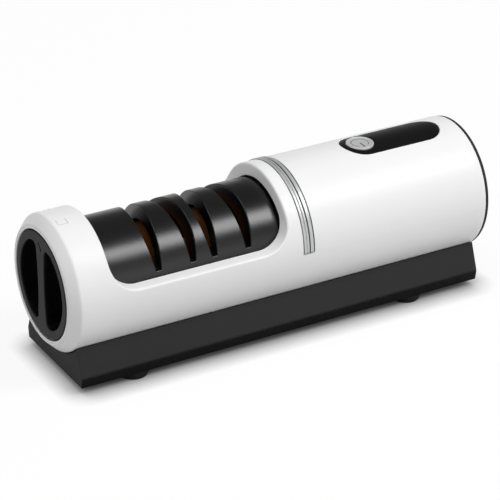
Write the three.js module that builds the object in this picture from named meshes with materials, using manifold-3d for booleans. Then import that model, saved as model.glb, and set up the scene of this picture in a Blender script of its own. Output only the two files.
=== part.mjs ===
// Electric knife sharpener: a barrel on a low base, with a wheel cassette under a slotted guide,
// a latch dial in one end, a motor in the other, and a power button in a window on top.
// Millimetres. +X runs along the barrel from the dial to the motor, +Z is up.

import * as THREE from 'three';
import { mergeVertices } from 'three/addons/utils/BufferGeometryUtils.js';
import Module from 'manifold-3d';

const wasm = await Module();
wasm.setup();

// Clearances and cuts
const seatGap = 0.3;
const slipGap = 0.1;
const runningGap = 0.6;
const cutOverrun = 2;
const weldReach = 0.0001;

// Barrel
const barrelLength = 240;
const barrelRadius = 35;
const barrelWall = 2.8;
const boreGap = 0.6;
const collarLength = 4.8;
const collarWidth = 6.7;
const lipWidth = 0.9;
const lipGrooveWidth = 1.2;
const lipGrooveDepth = 0.7;

// Opening over the guide, which starts behind the latch
const openingLength = 98.6;
const openingFloor = 4.5;
const openingCorner = 15;
const ledgeThickness = 2.4;
const saddleThickness = 3;
const saddleCount = 2;

// Dial
const dialDepth = 15;
const dialEdge = 0.9;
const scoopSideInset = 4.5;
const scoopTipInset = 2.2;
const scoopDepth = 12.4;
const scoopCorner = 3;
const scoopFloorInset = 3.4;
const gripHalfWidth = 3.4;
const gripEndHalfWidth = 4.4;
const pointerLength = 5;
const pointerWidth = 1.1;
const pointerDepth = 0.8;
const pointerTilt = 40;
const pointerInset = 6.9;

// Latch behind the dial
const spindleRadius = 4;
const spindleTangRadius = 2.2;
const spindleTangLength = 8;
const latchCamInset = 6;
const latchCamThickness = 1.7;
const latchPinRadius = 1.5;
const latchPinInset = 6;
const latchLift = 4;
const latchOpenTurn = 25;
const latchLockTurn = 9;
const slotEndTurn = 7;
const latchBoltThickness = 1.8;
const latchBoltHalfHeight = 4;
const latchBoltTail = 4;
const latchBoltReach = 1.6;
const latchRailWidth = 2;
const detentNotch = 1.1;
const detentLeaf = 0.5;
const detentHalfSpan = 9.5;
const detentRise = 2.2;
const detentPostWidth = 3;

// Wheel cassette
const cassetteWall = 2;
const frontWallThickness = 2.4;
const bearingBore = 3;
const bearingRadius = 6;
const bearingWidth = 4;
const bearingBossRadius = 9;
const rearWallThickness = 2.7;
const guideEndRound = 4.6;
const guideEndBore = 8;

// Knife slots; the two of a stage come nearer each other towards the far side
const slotFloor = 7.2;
const slotFloorWidth = 2.9;
const slotOuterRun = 4.2;
const slotInnerRun = 0.95;
const slotWall = 1.6;
const slotOffset = 6.9;

// Wheels and their shaft
const wheelInset = 9;
const wheelBack = 0.6;
const wheelRimFront = 2.6;
const wheelHubFront = 8.4;
const wheelHubRadius = 8.5;
const wheelBackRelief = 0.5;
const wheelRoomGap = 1.8;
const shaftRadius = 3;
const spacerRadius = 5;

// Jaw coupling
const couplingRadius = 9;
const couplingHub = 4;
const jawLength = 4;
const jawCount = 3;
const jawTurn = 52;

// Motor
const mountThickness = 3;
const mountWindowRadius = 4.6;
const mountWindowCount = 6;
const motorTopGap = 2.3;
const motorWall = 1.5;
const motorBossRadius = 6.5;
const endBellLength = 6;
const endBellBossRadius = 6;
const endBellBossLength = 3;
const motorShaftRadius = 2.5;
const magnetThickness = 2.6;
const magnetTurn = 130;
const armaturePoles = 5;
const poleSlotWidth = 2.6;
const commutatorRadius = 5;
const mountScrewRadius = 1.5;
const mountScrewHeadRadius = 2.7;
const mountScrewHeadHeight = 2;
const mountScrewLength = 7;

// Chrome band
const bandWidth = 6;
const bandProud = 0.5;
const bandThickness = 1.6;
const bandGroove = 0.8;
const bandGrooveDepth = 0.5;

// Control window, button and board
const windowHalfWidth = 10.6;
const windowSunk = 0.4;
const windowFlange = 2;
const windowFlangeDepth = 1.3;
const buttonInset = 9.5;
const buttonRadius = 7.5;
const buttonProud = 0.4;
const buttonDome = 0.6;
const buttonFlangeRadius = 8.7;
const buttonFlangeThickness = 1;
const buttonStemRadius = 2.5;
const buttonTravel = 1.2;
const boardInset = 10.3;
const boardThickness = 1.6;
const boardMargin = 4;
const boardHalfWidth = 17;
const boardPostRadius = 2.2;
const tactHalfWidth = 3;
const tactHeight = 3.2;
const springRadius = 5.6;
const springWire = 0.35;
const springTurns = 3;
const springStepsPerTurn = 10;

// End cap and power socket
const capStep = 0.4;
const capThickness = 1.5;
const capSpigotLength = 6;
const capSpigotWall = 2.4;
const socketInset = 12.2;
const socketRecessRadius = 7;
const socketRecessDepth = 5;
const socketRecessWall = 1.5;
const socketBoreRadius = 2.9;
const socketBoreDepth = 8;
const socketPinRadius = 1;
const socketHalfWidth = 5.6;
const socketLength = 11;

// Base
const baseStart = 6;
const baseEndInset = 2.2;
const baseSideInset = 5.3;
const baseBelow = 9.6;
const baseFootHeight = 6.8;
const baseCreaseRound = 3;
const baseWall = 2.5;
const cradleThickness = 2.4;
const basePlateThickness = 2.2;
const baseBossRadius = 4;
const baseScrewRadius = 1.6;
const baseScrewHeadRadius = 3;
const baseScrewHeadHeight = 1.4;
const baseScrewLength = 12;
const baseScrewInset = 14;
const baseScrewSideInset = 11.7;

// Feet
const footRadius = 6.7;
const footHeight = 4;
const footTaper = 0.6;
const footRound = 0.8;
const footStartInset = 31.9;
const footEndInset = 39.4;
const footSideInset = 7.3;

// Shares that shape small roundings: the collar's chamfer as [back, out], the middle of a rounded edge,
// the crease of the base, and the button's dome as [out, down]
const collarShares = [[1, 1], [0.78, 0.88], [0.08, 0.12], [0, 0]];
const edgeShare = 0.3;
const creaseShare = 0.25;
const domeShares = [[0.9, 0.4], [0.6, 0.1]];

// Shares of the opening's length, of the room behind it, of the distance from the middle that moves a slot
// along the barrel, of the motor's length, of the armature's thickness, of the barrel's radius as [out, down],
// and of the base's length
const coarseShare = 0.3844;
const stagePitchShare = 0.3144;
const bandShare = 0.0613;
const mountShare = 0.168;
const motorShare = 0.4538;
const windowStartShare = 0.4286;
const windowEndShare = 0.8992;
const slotSkewShare = 0.097;
const magnetShare = 0.7;
const armatureShare = 0.52;
const commutatorShare = 0.13;
const poleFloorShare = 0.51;
const baseShoulderShares = [0.72, 0.714];
const barrelScrewShares = [0.28, 0.72];

// Sizes across the barrel, from the outside in; its axis is the zero of height until the end
const shellInner = barrelRadius - barrelWall;
const boreRadius = barrelRadius - collarWidth;
const dialRadius = boreRadius - boreGap;
const scoopRadius = dialRadius - scoopSideInset;
const scoopHalfHeight = scoopRadius - scoopTipInset;
const pointerPlace = dialRadius - pointerInset;
const cassetteRadius = boreRadius - seatGap;
const latchCamRadius = cassetteRadius - latchCamInset;
const latchPinPlace = latchCamRadius - latchPinInset;
const latchBoltInner = latchPinPlace - latchBoltTail;
const wheelRadius = cassetteRadius - wheelInset;
const capRadius = barrelRadius - capStep;
const socketDrop = shellInner - socketInset;
const boardTop = shellInner - boardInset;
const motorRadius = boardTop - boardThickness - motorTopGap;
const motorInner = motorRadius - motorWall;
const armatureRadius = motorInner - seatGap - magnetThickness - runningGap;
const mountRadius = shellInner - seatGap;
const mountWindowPlace = (motorRadius + mountRadius) / 2;
const mountScrewPlace = (motorBossRadius + motorInner) / 2;
const baseHalfWidth = barrelRadius - baseSideInset;
const baseDrop = barrelRadius + baseBelow;
const baseCreaseDrop = baseDrop - baseFootHeight;
const [baseShoulderHalfWidth, baseShoulderDrop] = baseShoulderShares.map((share) => barrelRadius * share);
const baseScrewPlace = baseHalfWidth - baseScrewSideInset;
const footPlace = baseHalfWidth - footSideInset;
const axisHeight = baseDrop + footHeight;

// Places along the barrel, from the dial's face to the end cap
const dialFace = -barrelLength / 2;
const dialBack = dialFace + dialDepth;
const camFront = dialBack + seatGap;
const camBack = camFront + latchCamThickness;
const boltFront = camBack + seatGap;
const boltBack = boltFront + latchBoltThickness;
const wallFront = boltBack + seatGap;
const wallBack = wallFront + frontWallThickness;
const cassetteStart = wallBack + seatGap;
const openingStart = cassetteStart + seatGap;
const openingEnd = openingStart + openingLength;
const coarseStage = openingStart + openingLength * coarseShare;
const fineStage = coarseStage + openingLength * stagePitchShare;
const cassetteEnd = openingEnd - seatGap;
const bearingFront = wallBack + seatGap + seatGap;
const frontBossEnd = bearingFront + bearingWidth + seatGap;
const rearWallEnd = cassetteEnd - guideEndRound - seatGap;
const rearWallStart = rearWallEnd - rearWallThickness;
const rearBearingStart = rearWallEnd - bearingWidth - seatGap;
const couplingFace = cassetteEnd + runningGap + couplingHub;
const capFace = barrelLength / 2;
const capBack = capFace - capThickness;
const shellEnd = capBack - seatGap;
const endRoom = capFace - openingEnd;
const bandStart = openingEnd + endRoom * bandShare;
const mountStart = openingEnd + endRoom * mountShare;
const motorStart = mountStart + mountThickness + seatGap;
const motorLength = endRoom * motorShare;
const motorCentre = motorStart + motorLength / 2;
const motorEnd = motorStart + motorLength;
const magnetLength = motorLength * magnetShare;
const armatureLength = motorLength * armatureShare;
const commutatorLength = motorLength * commutatorShare;
const windowStart = openingEnd + endRoom * windowStartShare;
const windowEnd = openingEnd + endRoom * windowEndShare;
const buttonPlace = windowStart + buttonInset;
const baseFront = dialFace + baseStart;
const baseBack = capFace - baseEndInset;
const footFront = baseFront + footStartInset;
const footBack = baseBack - footEndInset;

const degrees = (angle) => (angle * Math.PI) / 180;

// Facets round a circle, by its radius
const facetSteps = [[barrelWall, 8], [bearingRadius, 12], [motorRadius, 18], [cassetteRadius, 32]];
const mostFacets = 48;
function facets(radius) {
  const step = facetSteps.find(([limit]) => radius <= limit + seatGap);
  return step ? step[1] : mostFacets;
}

// A closed geometry as a solid that can be joined and cut
function solidOf(geometry) {
  const bare = geometry.clone();
  bare.deleteAttribute('normal');
  bare.deleteAttribute('uv');
  const merged = mergeVertices(bare, weldReach);
  const mesh = new wasm.Mesh({
    numProp: 3,
    vertProperties: new Float32Array(merged.attributes.position.array),
    triVerts: new Uint32Array(merged.index.array),
  });
  return new wasm.Manifold(mesh);
}

// A solid's surface as a geometry
function geometryOf(solid) {
  const mesh = solid.getMesh();
  const geometry = new THREE.BufferGeometry();
  const count = mesh.vertProperties.length / mesh.numProp;
  const places = new Float32Array(count * 3);
  for (let i = 0; i < count; i += 1) {
    for (let k = 0; k < 3; k += 1) places[i * 3 + k] = mesh.vertProperties[i * mesh.numProp + k];
  }
  geometry.setAttribute('position', new THREE.BufferAttribute(places, 3));
  geometry.setIndex(new THREE.BufferAttribute(new Uint32Array(mesh.triVerts), 1));
  geometry.computeVertexNormals();
  return geometry;
}

const joined = (...solids) => solids.reduce((a, b) => a.add(b));
const cut = (body, ...tools) => tools.reduce((a, b) => a.subtract(b), body);

// Twice the area inside an outline, positive when it runs anticlockwise
function signedArea(points) {
  let sum = 0;
  points.forEach(([x, y], i) => {
    const [u, v] = points[(i + 1) % points.length];
    sum += x * v - u * y;
  });
  return sum;
}

// Outline of [x, radius] points revolved about the barrel's axis, or one at the given y and z
function revolved(points, y = 0, z = 0, count = 0) {
  const outline = signedArea(points) < 0 ? points : [...points].reverse();
  const profile = [...outline, outline[0]].map(([x, r]) => new THREE.Vector2(r, x));
  const largest = Math.max(...points.map(([, r]) => r));
  const geometry = new THREE.LatheGeometry(profile, count || facets(largest));
  geometry.rotateZ(-Math.PI / 2);
  geometry.translate(0, y, z);
  return solidOf(geometry);
}

// Ring or disc about an axis along X
const ring = (x0, x1, inner, outer, y = 0, z = 0) =>
  revolved([[x0, inner], [x1, inner], [x1, outer], [x0, outer]], y, z);
const disc = (x0, x1, radius, y = 0, z = 0) => {
  const geometry = new THREE.CylinderGeometry(radius, radius, x1 - x0, facets(radius));
  geometry.rotateZ(-Math.PI / 2);
  geometry.translate((x0 + x1) / 2, y, z);
  return solidOf(geometry);
};

// Upright round post from z0 to z1
const post = (x, y, z0, z1, radius, top = radius) => {
  const geometry = new THREE.CylinderGeometry(top, radius, z1 - z0, facets(radius));
  geometry.rotateX(Math.PI / 2);
  geometry.translate(x, y, (z0 + z1) / 2);
  return solidOf(geometry);
};

const block = (x0, x1, y0, y1, z0, z1) => {
  const geometry = new THREE.BoxGeometry(x1 - x0, y1 - y0, z1 - z0);
  geometry.translate((x0 + x1) / 2, (y0 + y1) / 2, (z0 + z1) / 2);
  return solidOf(geometry);
};

// Block between two opposite corners, given in any order
const blockBetween = (a, b) => block(...a.flatMap((v, i) => [Math.min(v, b[i]), Math.max(v, b[i])]));

// Shape drawn in X and Z, running across the barrel from y0 to y1
function across(shape, y0, y1) {
  const geometry = new THREE.ExtrudeGeometry(shape, { depth: y1 - y0, bevelEnabled: false, curveSegments: 6 });
  geometry.rotateX(Math.PI / 2);
  geometry.translate(0, y1, 0);
  return solidOf(geometry);
}

// Shape drawn in Y and Z, running along the barrel from x0 to x1
function lengthwise(shape, x0, x1, rounding = 6) {
  const options = { depth: x1 - x0, bevelEnabled: false, curveSegments: rounding };
  const geometry = new THREE.ExtrudeGeometry(shape, options);
  const turn = new THREE.Matrix4().makeBasis(
    new THREE.Vector3(0, 1, 0),
    new THREE.Vector3(0, 0, 1),
    new THREE.Vector3(1, 0, 0),
  );
  geometry.applyMatrix4(turn);
  geometry.translate(x0, 0, 0);
  return solidOf(geometry);
}

// Shape drawn in X and Y, standing from z0 to z1
function upright(shape, z0, z1, rounding = 6) {
  const options = { depth: z1 - z0, bevelEnabled: false, curveSegments: rounding };
  const geometry = new THREE.ExtrudeGeometry(shape, options);
  geometry.translate(0, 0, z0);
  return solidOf(geometry);
}

const polygon = (points) => new THREE.Shape(points.map(([a, b]) => new THREE.Vector2(a, b)));

// Oblong with full-round ends, long way along X
function oblong(x0, x1, halfWidth) {
  const shape = new THREE.Shape();
  shape.moveTo(x0 + halfWidth, -halfWidth);
  shape.lineTo(x1 - halfWidth, -halfWidth);
  shape.absarc(x1 - halfWidth, 0, halfWidth, -Math.PI / 2, Math.PI / 2);
  shape.lineTo(x0 + halfWidth, halfWidth);
  shape.absarc(x0 + halfWidth, 0, halfWidth, Math.PI / 2, Math.PI * 1.5);
  return shape;
}

const parts = new THREE.Group();
parts.position.z = axisHeight;

function place(name, solid, material) {
  const mesh = new THREE.Mesh(geometryOf(solid), material);
  mesh.name = name;
  parts.add(mesh);
}

// Materials
const whiteShell = () => new THREE.MeshStandardMaterial({ color: '#efefed', roughness: 0.35, metalness: 0 });
const dialGrey = () => new THREE.MeshStandardMaterial({ color: '#3b3b3c', roughness: 0.5, metalness: 0 });
const satinBlack = () => new THREE.MeshStandardMaterial({ color: '#1c1c1d', roughness: 0.42, metalness: 0 });
const charcoal = () => new THREE.MeshStandardMaterial({ color: '#2c2c2e', roughness: 0.6, metalness: 0 });
const glossBlack = () => new THREE.MeshStandardMaterial({ color: '#151516', roughness: 0.18, metalness: 0 });
const chrome = () => new THREE.MeshStandardMaterial({ color: '#d4d6d8', roughness: 0.12, metalness: 1 });
const silver = () => new THREE.MeshStandardMaterial({ color: '#c6c7c9', roughness: 0.3, metalness: 0.9 });
const abrasive = () => new THREE.MeshStandardMaterial({ color: '#6a4630', roughness: 0.75, metalness: 0.4 });
const steel = () => new THREE.MeshStandardMaterial({ color: '#a9abad', roughness: 0.35, metalness: 1 });
const zinc = () => new THREE.MeshStandardMaterial({ color: '#8f9295', roughness: 0.45, metalness: 1 });
const copper = () => new THREE.MeshStandardMaterial({ color: '#b4693a', roughness: 0.4, metalness: 1 });
const ferrite = () => new THREE.MeshStandardMaterial({ color: '#3b3b3d', roughness: 0.7, metalness: 0.2 });
const greyNylon = () => new THREE.MeshStandardMaterial({ color: '#6f7174', roughness: 0.6, metalness: 0 });
const boardGreen = () => new THREE.MeshStandardMaterial({ color: '#1f5a36', roughness: 0.5, metalness: 0 });
const rubber = () => new THREE.MeshStandardMaterial({ color: '#161616', roughness: 0.85, metalness: 0 });

// Side view of the opening: straight down, round the two lower corners and along the ledge
function openingShape(grow) {
  const x0 = openingStart - grow;
  const x1 = openingEnd + grow;
  const floor = openingFloor - grow;
  const corner = openingCorner + grow;
  const top = barrelRadius + cutOverrun;
  const shape = new THREE.Shape();
  shape.moveTo(x0, top);
  shape.lineTo(x0, floor + corner);
  shape.absarc(x0 + corner, floor + corner, corner, Math.PI, Math.PI * 1.5);
  shape.lineTo(x1 - corner, floor);
  shape.absarc(x1 - corner, floor + corner, corner, Math.PI * 1.5, Math.PI * 2);
  shape.lineTo(x1, top);
  return shape;
}

// White tube: bored for the dial at one end, thin over the motor, with the opening and its ledges
function barrelShell() {
  const lipOuter = boreRadius + lipWidth;
  const grooveOuter = lipOuter + lipGrooveWidth;
  const collar = collarShares.map(([back, out]) => [
    dialFace + collarLength * back,
    grooveOuter + (barrelRadius - grooveOuter) * out,
  ]);
  const tube = revolved([
    [shellEnd, shellInner],
    [shellEnd, barrelRadius],
    ...collar,
    [dialFace + lipGrooveDepth, grooveOuter],
    [dialFace + lipGrooveDepth, lipOuter],
    [dialFace, lipOuter],
    [dialFace, boreRadius],
    [openingStart, boreRadius],
    [openingStart, shellInner],
  ]);
  const reach = barrelRadius + cutOverrun;
  const ledges = across(openingShape(ledgeThickness), -reach, reach)
    .intersect(ring(
      openingStart - ledgeThickness,
      openingEnd + ledgeThickness,
      boreRadius,
      shellInner + seatGap,
    ));
  const below = block(openingStart, openingEnd, -reach, reach, -reach, 0);
  const saddleGap = openingLength / (saddleCount + 1);
  const saddles = Array.from({ length: saddleCount }, (_, i) => {
    const middle = openingStart + (i + 1) * saddleGap;
    const x0 = middle - saddleThickness / 2;
    return ring(x0, x0 + saddleThickness, boreRadius, shellInner + seatGap).intersect(below);
  });
  const opening = across(openingShape(0), -reach, reach);
  const bandSeat = ring(
    bandStart - seatGap,
    bandStart + bandWidth + seatGap,
    barrelRadius + bandProud - bandThickness - seatGap,
    reach,
  ).intersect(block(
    bandStart - cutOverrun,
    bandStart + bandWidth + cutOverrun,
    -reach,
    reach,
    -seatGap,
    reach,
  ));
  const windowHole = upright(
    oblong(windowStart - seatGap, windowEnd + seatGap, windowHalfWidth + seatGap),
    0,
    reach,
  );
  const boltPocket = block(
    boltFront - seatGap,
    boltBack + seatGap,
    -(boreRadius + latchBoltReach + latchLift * degrees(latchLockTurn) + seatGap),
    boreRadius + latchBoltReach + latchLift * degrees(latchLockTurn) + seatGap,
    -(latchBoltHalfHeight + seatGap),
    latchBoltHalfHeight + seatGap,
  );
  const body = cut(joined(tube, ledges, ...saddles), opening, bandSeat, windowHole, boltPocket);
  return cut(joined(body, ...boardPosts()), ...barrelScrewHoles());
}

// Posts inside the shell that carry the switch board
function boardPosts() {
  const low = boardTop + seatGap;
  return boardCorners().map(([x, y]) => {
    const high = Math.sqrt((shellInner + seatGap) ** 2 - y ** 2);
    return post(x, y, low, high, boardPostRadius);
  });
}

function boardCorners() {
  const y = windowHalfWidth + windowFlange + boardPostRadius;
  const x0 = windowStart + boardMargin;
  const x1 = windowEnd - boardMargin;
  return [[x0, -y], [x1, -y], [x0, y], [x1, y]];
}

const barrelScrewSpots = () =>
  barrelScrewShares.map((share) => baseFront + share * (baseBack - baseFront));

// Holes in the underside of the shell for the screws that hold the base
function barrelScrewHoles() {
  return barrelScrewSpots().map((x) =>
    post(x, 0, -(barrelRadius + cutOverrun), -(shellInner - cutOverrun), baseScrewRadius + seatGap));
}

// A finger hollow's mouth, seen from the end: straight beside the grip bar and round on the dial's side
function scoopMouth() {
  const cornerTurn = Math.PI / 2;
  const cornerSteps = 3;
  const upper = [[gripHalfWidth, 0]];
  for (let i = 0; i <= cornerSteps; i += 1) {
    const turn = Math.PI - (cornerTurn * i) / cornerSteps;
    upper.push([
      gripEndHalfWidth + scoopCorner * (1 + Math.cos(turn)),
      scoopHalfHeight - scoopCorner * (1 - Math.sin(turn)),
    ]);
  }
  const start = Math.asin(scoopHalfHeight / scoopRadius);
  const arcSteps = 8;
  for (let i = 0; i <= arcSteps; i += 1) {
    const turn = start * (1 - i / arcSteps);
    upper.push([scoopRadius * Math.cos(turn), scoopRadius * Math.sin(turn)]);
  }
  const lower = upper.slice(1, -1).reverse().map(([y, z]) => [y, -z]);
  return [...upper, ...lower];
}

// The hollow's section where it has narrowed by a share of its inset
function scoopSection(side, share) {
  const middle = (gripHalfWidth + scoopRadius) / 2;
  const wide = 1 - (share * scoopFloorInset) / (scoopRadius - middle);
  const high = 1 - (share * scoopFloorInset) / scoopHalfHeight;
  return scoopMouth().map(([y, z]) => [side * (middle + (y - middle) * wide), z * high]);
}

// A finger hollow with curved walls that narrows towards its floor
function scoop(side) {
  const sections = [[dialFace - cutOverrun, scoopSection(side, 0)]];
  const steps = 4;
  for (let i = 0; i <= steps; i += 1) {
    const turn = (i / steps) * (Math.PI / 2);
    sections.push([dialFace + scoopDepth * Math.sin(turn), scoopSection(side, 1 - Math.cos(turn))]);
  }
  return loft(sections);
}

// Skin through matching outlines at rising places along X, closed at both ends
function loft(sections) {
  const anticlockwise = signedArea(sections[0][1]) > 0;
  const outlines = sections.map(([x, outline]) => [x, anticlockwise ? outline : [...outline].reverse()]);
  const count = outlines[0][1].length;
  const places = [];
  outlines.forEach(([x, outline]) => outline.forEach(([y, z]) => places.push(x, y, z)));
  const index = [];
  for (let s = 0; s + 1 < outlines.length; s += 1) {
    for (let i = 0; i < count; i += 1) {
      const a = s * count + i;
      const b = s * count + ((i + 1) % count);
      index.push(a, b, a + count, b, b + count, a + count);
    }
  }
  const last = (outlines.length - 1) * count;
  const contour = outlines[0][1].map(([y, z]) => new THREE.Vector2(y, z));
  THREE.ShapeUtils.triangulateShape(contour, []).forEach(([a, b, c]) => {
    index.push(a, c, b);
    index.push(last + a, last + b, last + c);
  });
  const geometry = new THREE.BufferGeometry();
  geometry.setAttribute('position', new THREE.Float32BufferAttribute(places, 3));
  geometry.setIndex(index);
  return solidOf(geometry);
}

// Dial: a rounded disc with two finger hollows, a slit for a pointer and a bore for the spindle's tang
function dial() {
  const body = revolved([
    [dialFace, 0],
    [dialBack, 0],
    [dialBack, dialRadius],
    [dialFace + dialEdge, dialRadius],
    [dialFace + dialEdge * edgeShare, dialRadius - dialEdge * edgeShare],
    [dialFace, dialRadius - dialEdge],
  ]);
  const slit = new THREE.BoxGeometry(pointerDepth + cutOverrun, pointerWidth, pointerLength);
  slit.rotateX(-degrees(pointerTilt));
  slit.translate(dialFace + (pointerDepth - cutOverrun) / 2, 0, pointerPlace);
  const bore = disc(dialBack - spindleTangLength - seatGap, dialBack + cutOverrun, spindleTangRadius + seatGap);
  return cut(body, scoop(-1), scoop(1), solidOf(slit), bore);
}

// Spindle: a tang in the dial and a thicker journal in the cassette's front wall
function dialSpindle() {
  return revolved([
    [dialBack - spindleTangLength, 0],
    [wallBack - seatGap, 0],
    [wallBack - seatGap, spindleRadius],
    [camFront, spindleRadius],
    [camFront, spindleTangRadius],
    [dialBack - spindleTangLength, spindleTangRadius],
  ]);
}

// Spiral slot in the latch cam: its radius changes by the lift for each radian of turn from the level
function spiralSlot(side) {
  const halfWidth = latchPinRadius + seatGap;
  const from = -(latchLockTurn + slotEndTurn);
  const to = latchOpenTurn + slotEndTurn;
  const steps = 6;
  const outer = [];
  const inner = [];
  for (let i = 0; i <= steps; i += 1) {
    const turn = degrees(from + ((to - from) * i) / steps);
    const radius = latchPinPlace - latchLift * turn;
    const out = side * (radius + halfWidth);
    const back = side * (radius - halfWidth);
    outer.push([out * Math.cos(turn), out * Math.sin(turn)]);
    inner.unshift([back * Math.cos(turn), back * Math.sin(turn)]);
  }
  return lengthwise(polygon([...outer, ...inner]), camFront - cutOverrun, camBack + cutOverrun);
}

// Latch cam: a disc on the spindle with two spiral slots and two detent notches in its rim
function latchCam() {
  const body = ring(camFront, camBack, spindleRadius + seatGap, latchCamRadius);
  const notches = [latchLockTurn, -latchOpenTurn].map((turn) => {
    const angle = degrees(turn);
    return disc(
      camFront - cutOverrun,
      camBack + cutOverrun,
      detentNotch + seatGap,
      latchCamRadius * Math.sin(angle),
      latchCamRadius * Math.cos(angle),
    );
  });
  return cut(body, spiralSlot(-1), spiralSlot(1), ...notches);
}

// Latch bolt: a flat tongue that slides outwards, with a pin that rides in the cam's spiral slot
function latchBolt(side) {
  const inner = side * latchBoltInner;
  const outer = side * (boreRadius + latchBoltReach - seatGap);
  const tongue = blockBetween([boltFront, inner, -latchBoltHalfHeight], [boltBack, outer, latchBoltHalfHeight]);
  return tongue.add(disc(camFront + seatGap, boltFront + seatGap, latchPinRadius, side * latchPinPlace, 0));
}

// Detent spring: a bent leaf whose tip rides on the cam's rim
function detentSpring() {
  const rest = latchCamRadius + detentRise;
  const tip = latchCamRadius + seatGap;
  const bend = detentRise;
  const lower = [[-detentHalfSpan, rest], [-bend, rest], [0, tip], [bend, rest], [detentHalfSpan, rest]];
  const upper = lower.map(([y, z]) => [y, z + detentLeaf]).reverse();
  return lengthwise(polygon([...lower, ...upper]), camFront, camBack);
}

// Front wall of the cassette: bearing boss behind, bolt rails and detent posts in front
function cassetteFront() {
  const rim = boreRadius - seatGap;
  const wall = disc(wallFront, wallBack, rim);
  const boss = disc(wallBack - seatGap, frontBossEnd, bearingBossRadius);
  const rails = [];
  [-1, 1].forEach((side) => {
    [-1, 1].forEach((up) => {
      const y0 = side * latchBoltInner;
      const y1 = side * rim;
      const z0 = up * (latchBoltHalfHeight + seatGap);
      const z1 = z0 + up * latchRailWidth;
      rails.push(blockBetween([boltFront, y0, z0], [wallFront + seatGap, y1, z1]));
    });
  });
  const rest = latchCamRadius + detentRise;
  const posts = [-1, 1].map((side) => {
    const y0 = side * (detentHalfSpan - detentPostWidth);
    const y1 = side * (detentHalfSpan + seatGap);
    const lip = detentLeaf + seatGap;
    const slot = blockBetween(
      [camFront - cutOverrun, y0 - side * cutOverrun, rest - seatGap],
      [camBack + seatGap, y1 + side * cutOverrun, rest + lip],
    );
    return cut(blockBetween([camFront, y0, rest - lip], [wallFront + seatGap, y1, rest + lip * 2]), slot);
  });
  const front = joined(...rails, ...posts).intersect(disc(camFront, wallFront + seatGap, rim));
  return cut(
    joined(wall, boss, front),
    disc(wallFront - cutOverrun, frontBossEnd, spindleRadius + seatGap),
    disc(bearingFront - seatGap, frontBossEnd + cutOverrun, bearingRadius + seatGap),
  );
}

// Bed of the cassette: the lower half of a tube, with the wall that carries the rear bearing
function cassetteBed() {
  const reach = cassetteRadius + cutOverrun;
  const lower = ring(cassetteStart, cassetteEnd, cassetteRadius - cassetteWall, cassetteRadius)
    .intersect(block(cassetteStart, cassetteEnd, -reach, reach, -reach, -seatGap / 2));
  const wall = disc(rearWallStart, rearWallEnd, cassetteRadius - cassetteWall - seatGap);
  const foot = disc(rearWallStart, rearWallEnd, cassetteRadius - cassetteWall / 2)
    .intersect(block(rearWallStart, rearWallEnd, -reach, reach, -reach, -seatGap));
  const boss = disc(rearBearingStart - seatGap, rearWallEnd, bearingBossRadius);
  return cut(
    joined(lower, wall, foot, boss),
    disc(rearBearingStart - seatGap - cutOverrun, rearBearingStart + bearingWidth, bearingRadius + seatGap),
    disc(rearBearingStart, rearWallEnd + cutOverrun, shaftRadius + runningGap),
  );
}

// Section of a knife slot, or of its trough, at a stage; side is -1 for the slot nearer the dial
function slotSection(stage, side, grow) {
  const floor = slotFloor - grow;
  const rise = (cassetteRadius + cutOverrun - floor) / (cassetteRadius - slotFloor);
  const top = cassetteRadius + cutOverrun;
  const inner = slotOffset - slotFloorWidth / 2 - grow;
  const outer = slotOffset + slotFloorWidth / 2 + grow;
  const points = [
    [inner, floor],
    [outer, floor],
    [outer + slotOuterRun * rise, top],
    [inner - slotInnerRun * rise, top],
  ];
  return polygon(points.map(([x, z]) => [stage + side * x, z]));
}

// Outline of a wheel from its back to its cone, as [distance from the stage's middle, radius]
function wheelOutline() {
  return [
    [wheelBack, shaftRadius + seatGap],
    [wheelBack, wheelRadius - wheelBackRelief],
    [wheelBack + wheelBackRelief, wheelRadius],
    [wheelRimFront, wheelRadius],
    [wheelHubFront, wheelHubRadius],
    [wheelHubFront, shaftRadius + seatGap],
  ];
}

const wheelAt = (stage, side) => revolved(wheelOutline().map(([x, r]) => [stage + side * x, r]));

// Slot or trough across the barrel, with its far end moved along by a share of its distance
function slotAcross(stage, side, grow) {
  const reach = cassetteRadius + cutOverrun;
  const share = -side * slotSkewShare;
  const skew = [1, 0, 0, 0, share, 1, 0, 0, 0, 0, 1, 0, 0, 0, 0, 1];
  return across(slotSection(stage, side, grow), -reach, reach).transform(skew);
}

// Slotted guide: the upper half of a tube with a rounded end and four troughs, which all stop
// round the room that the wheels turn in
function guideCover() {
  const reach = cassetteRadius + cutOverrun;
  const inner = cassetteRadius - cassetteWall;
  const round = [];
  const roundSteps = 5;
  for (let i = 0; i <= roundSteps; i += 1) {
    const turn = (i / roundSteps) * (Math.PI / 2);
    round.push([
      cassetteEnd - guideEndRound * (1 - Math.cos(turn)),
      cassetteRadius - guideEndRound * (1 - Math.sin(turn)),
    ]);
  }
  const skin = revolved([
    [cassetteStart, inner],
    [cassetteEnd - guideEndRound, inner],
    [cassetteEnd - cassetteWall, inner - guideEndRound + cassetteWall],
    [cassetteEnd - cassetteWall, guideEndBore],
    [cassetteEnd, guideEndBore],
    ...round,
    [cassetteStart, cassetteRadius],
  ]);
  const upper = block(cassetteStart, cassetteEnd, -reach, reach, seatGap / 2, reach);
  const inside = disc(cassetteStart, cassetteEnd, cassetteRadius);
  const slots = [];
  const troughs = [];
  [coarseStage, fineStage].forEach((stage) => {
    [-1, 1].forEach((side) => {
      troughs.push(slotAcross(stage, side, slotWall).intersect(inside));
      slots.push(slotAcross(stage, side, 0));
    });
  });
  const room = disc(cassetteStart + cassetteWall, cassetteEnd - cassetteWall, wheelRadius + wheelRoomGap);
  return cut(joined(skin.intersect(upper), ...troughs), ...slots, room);
}

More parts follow.
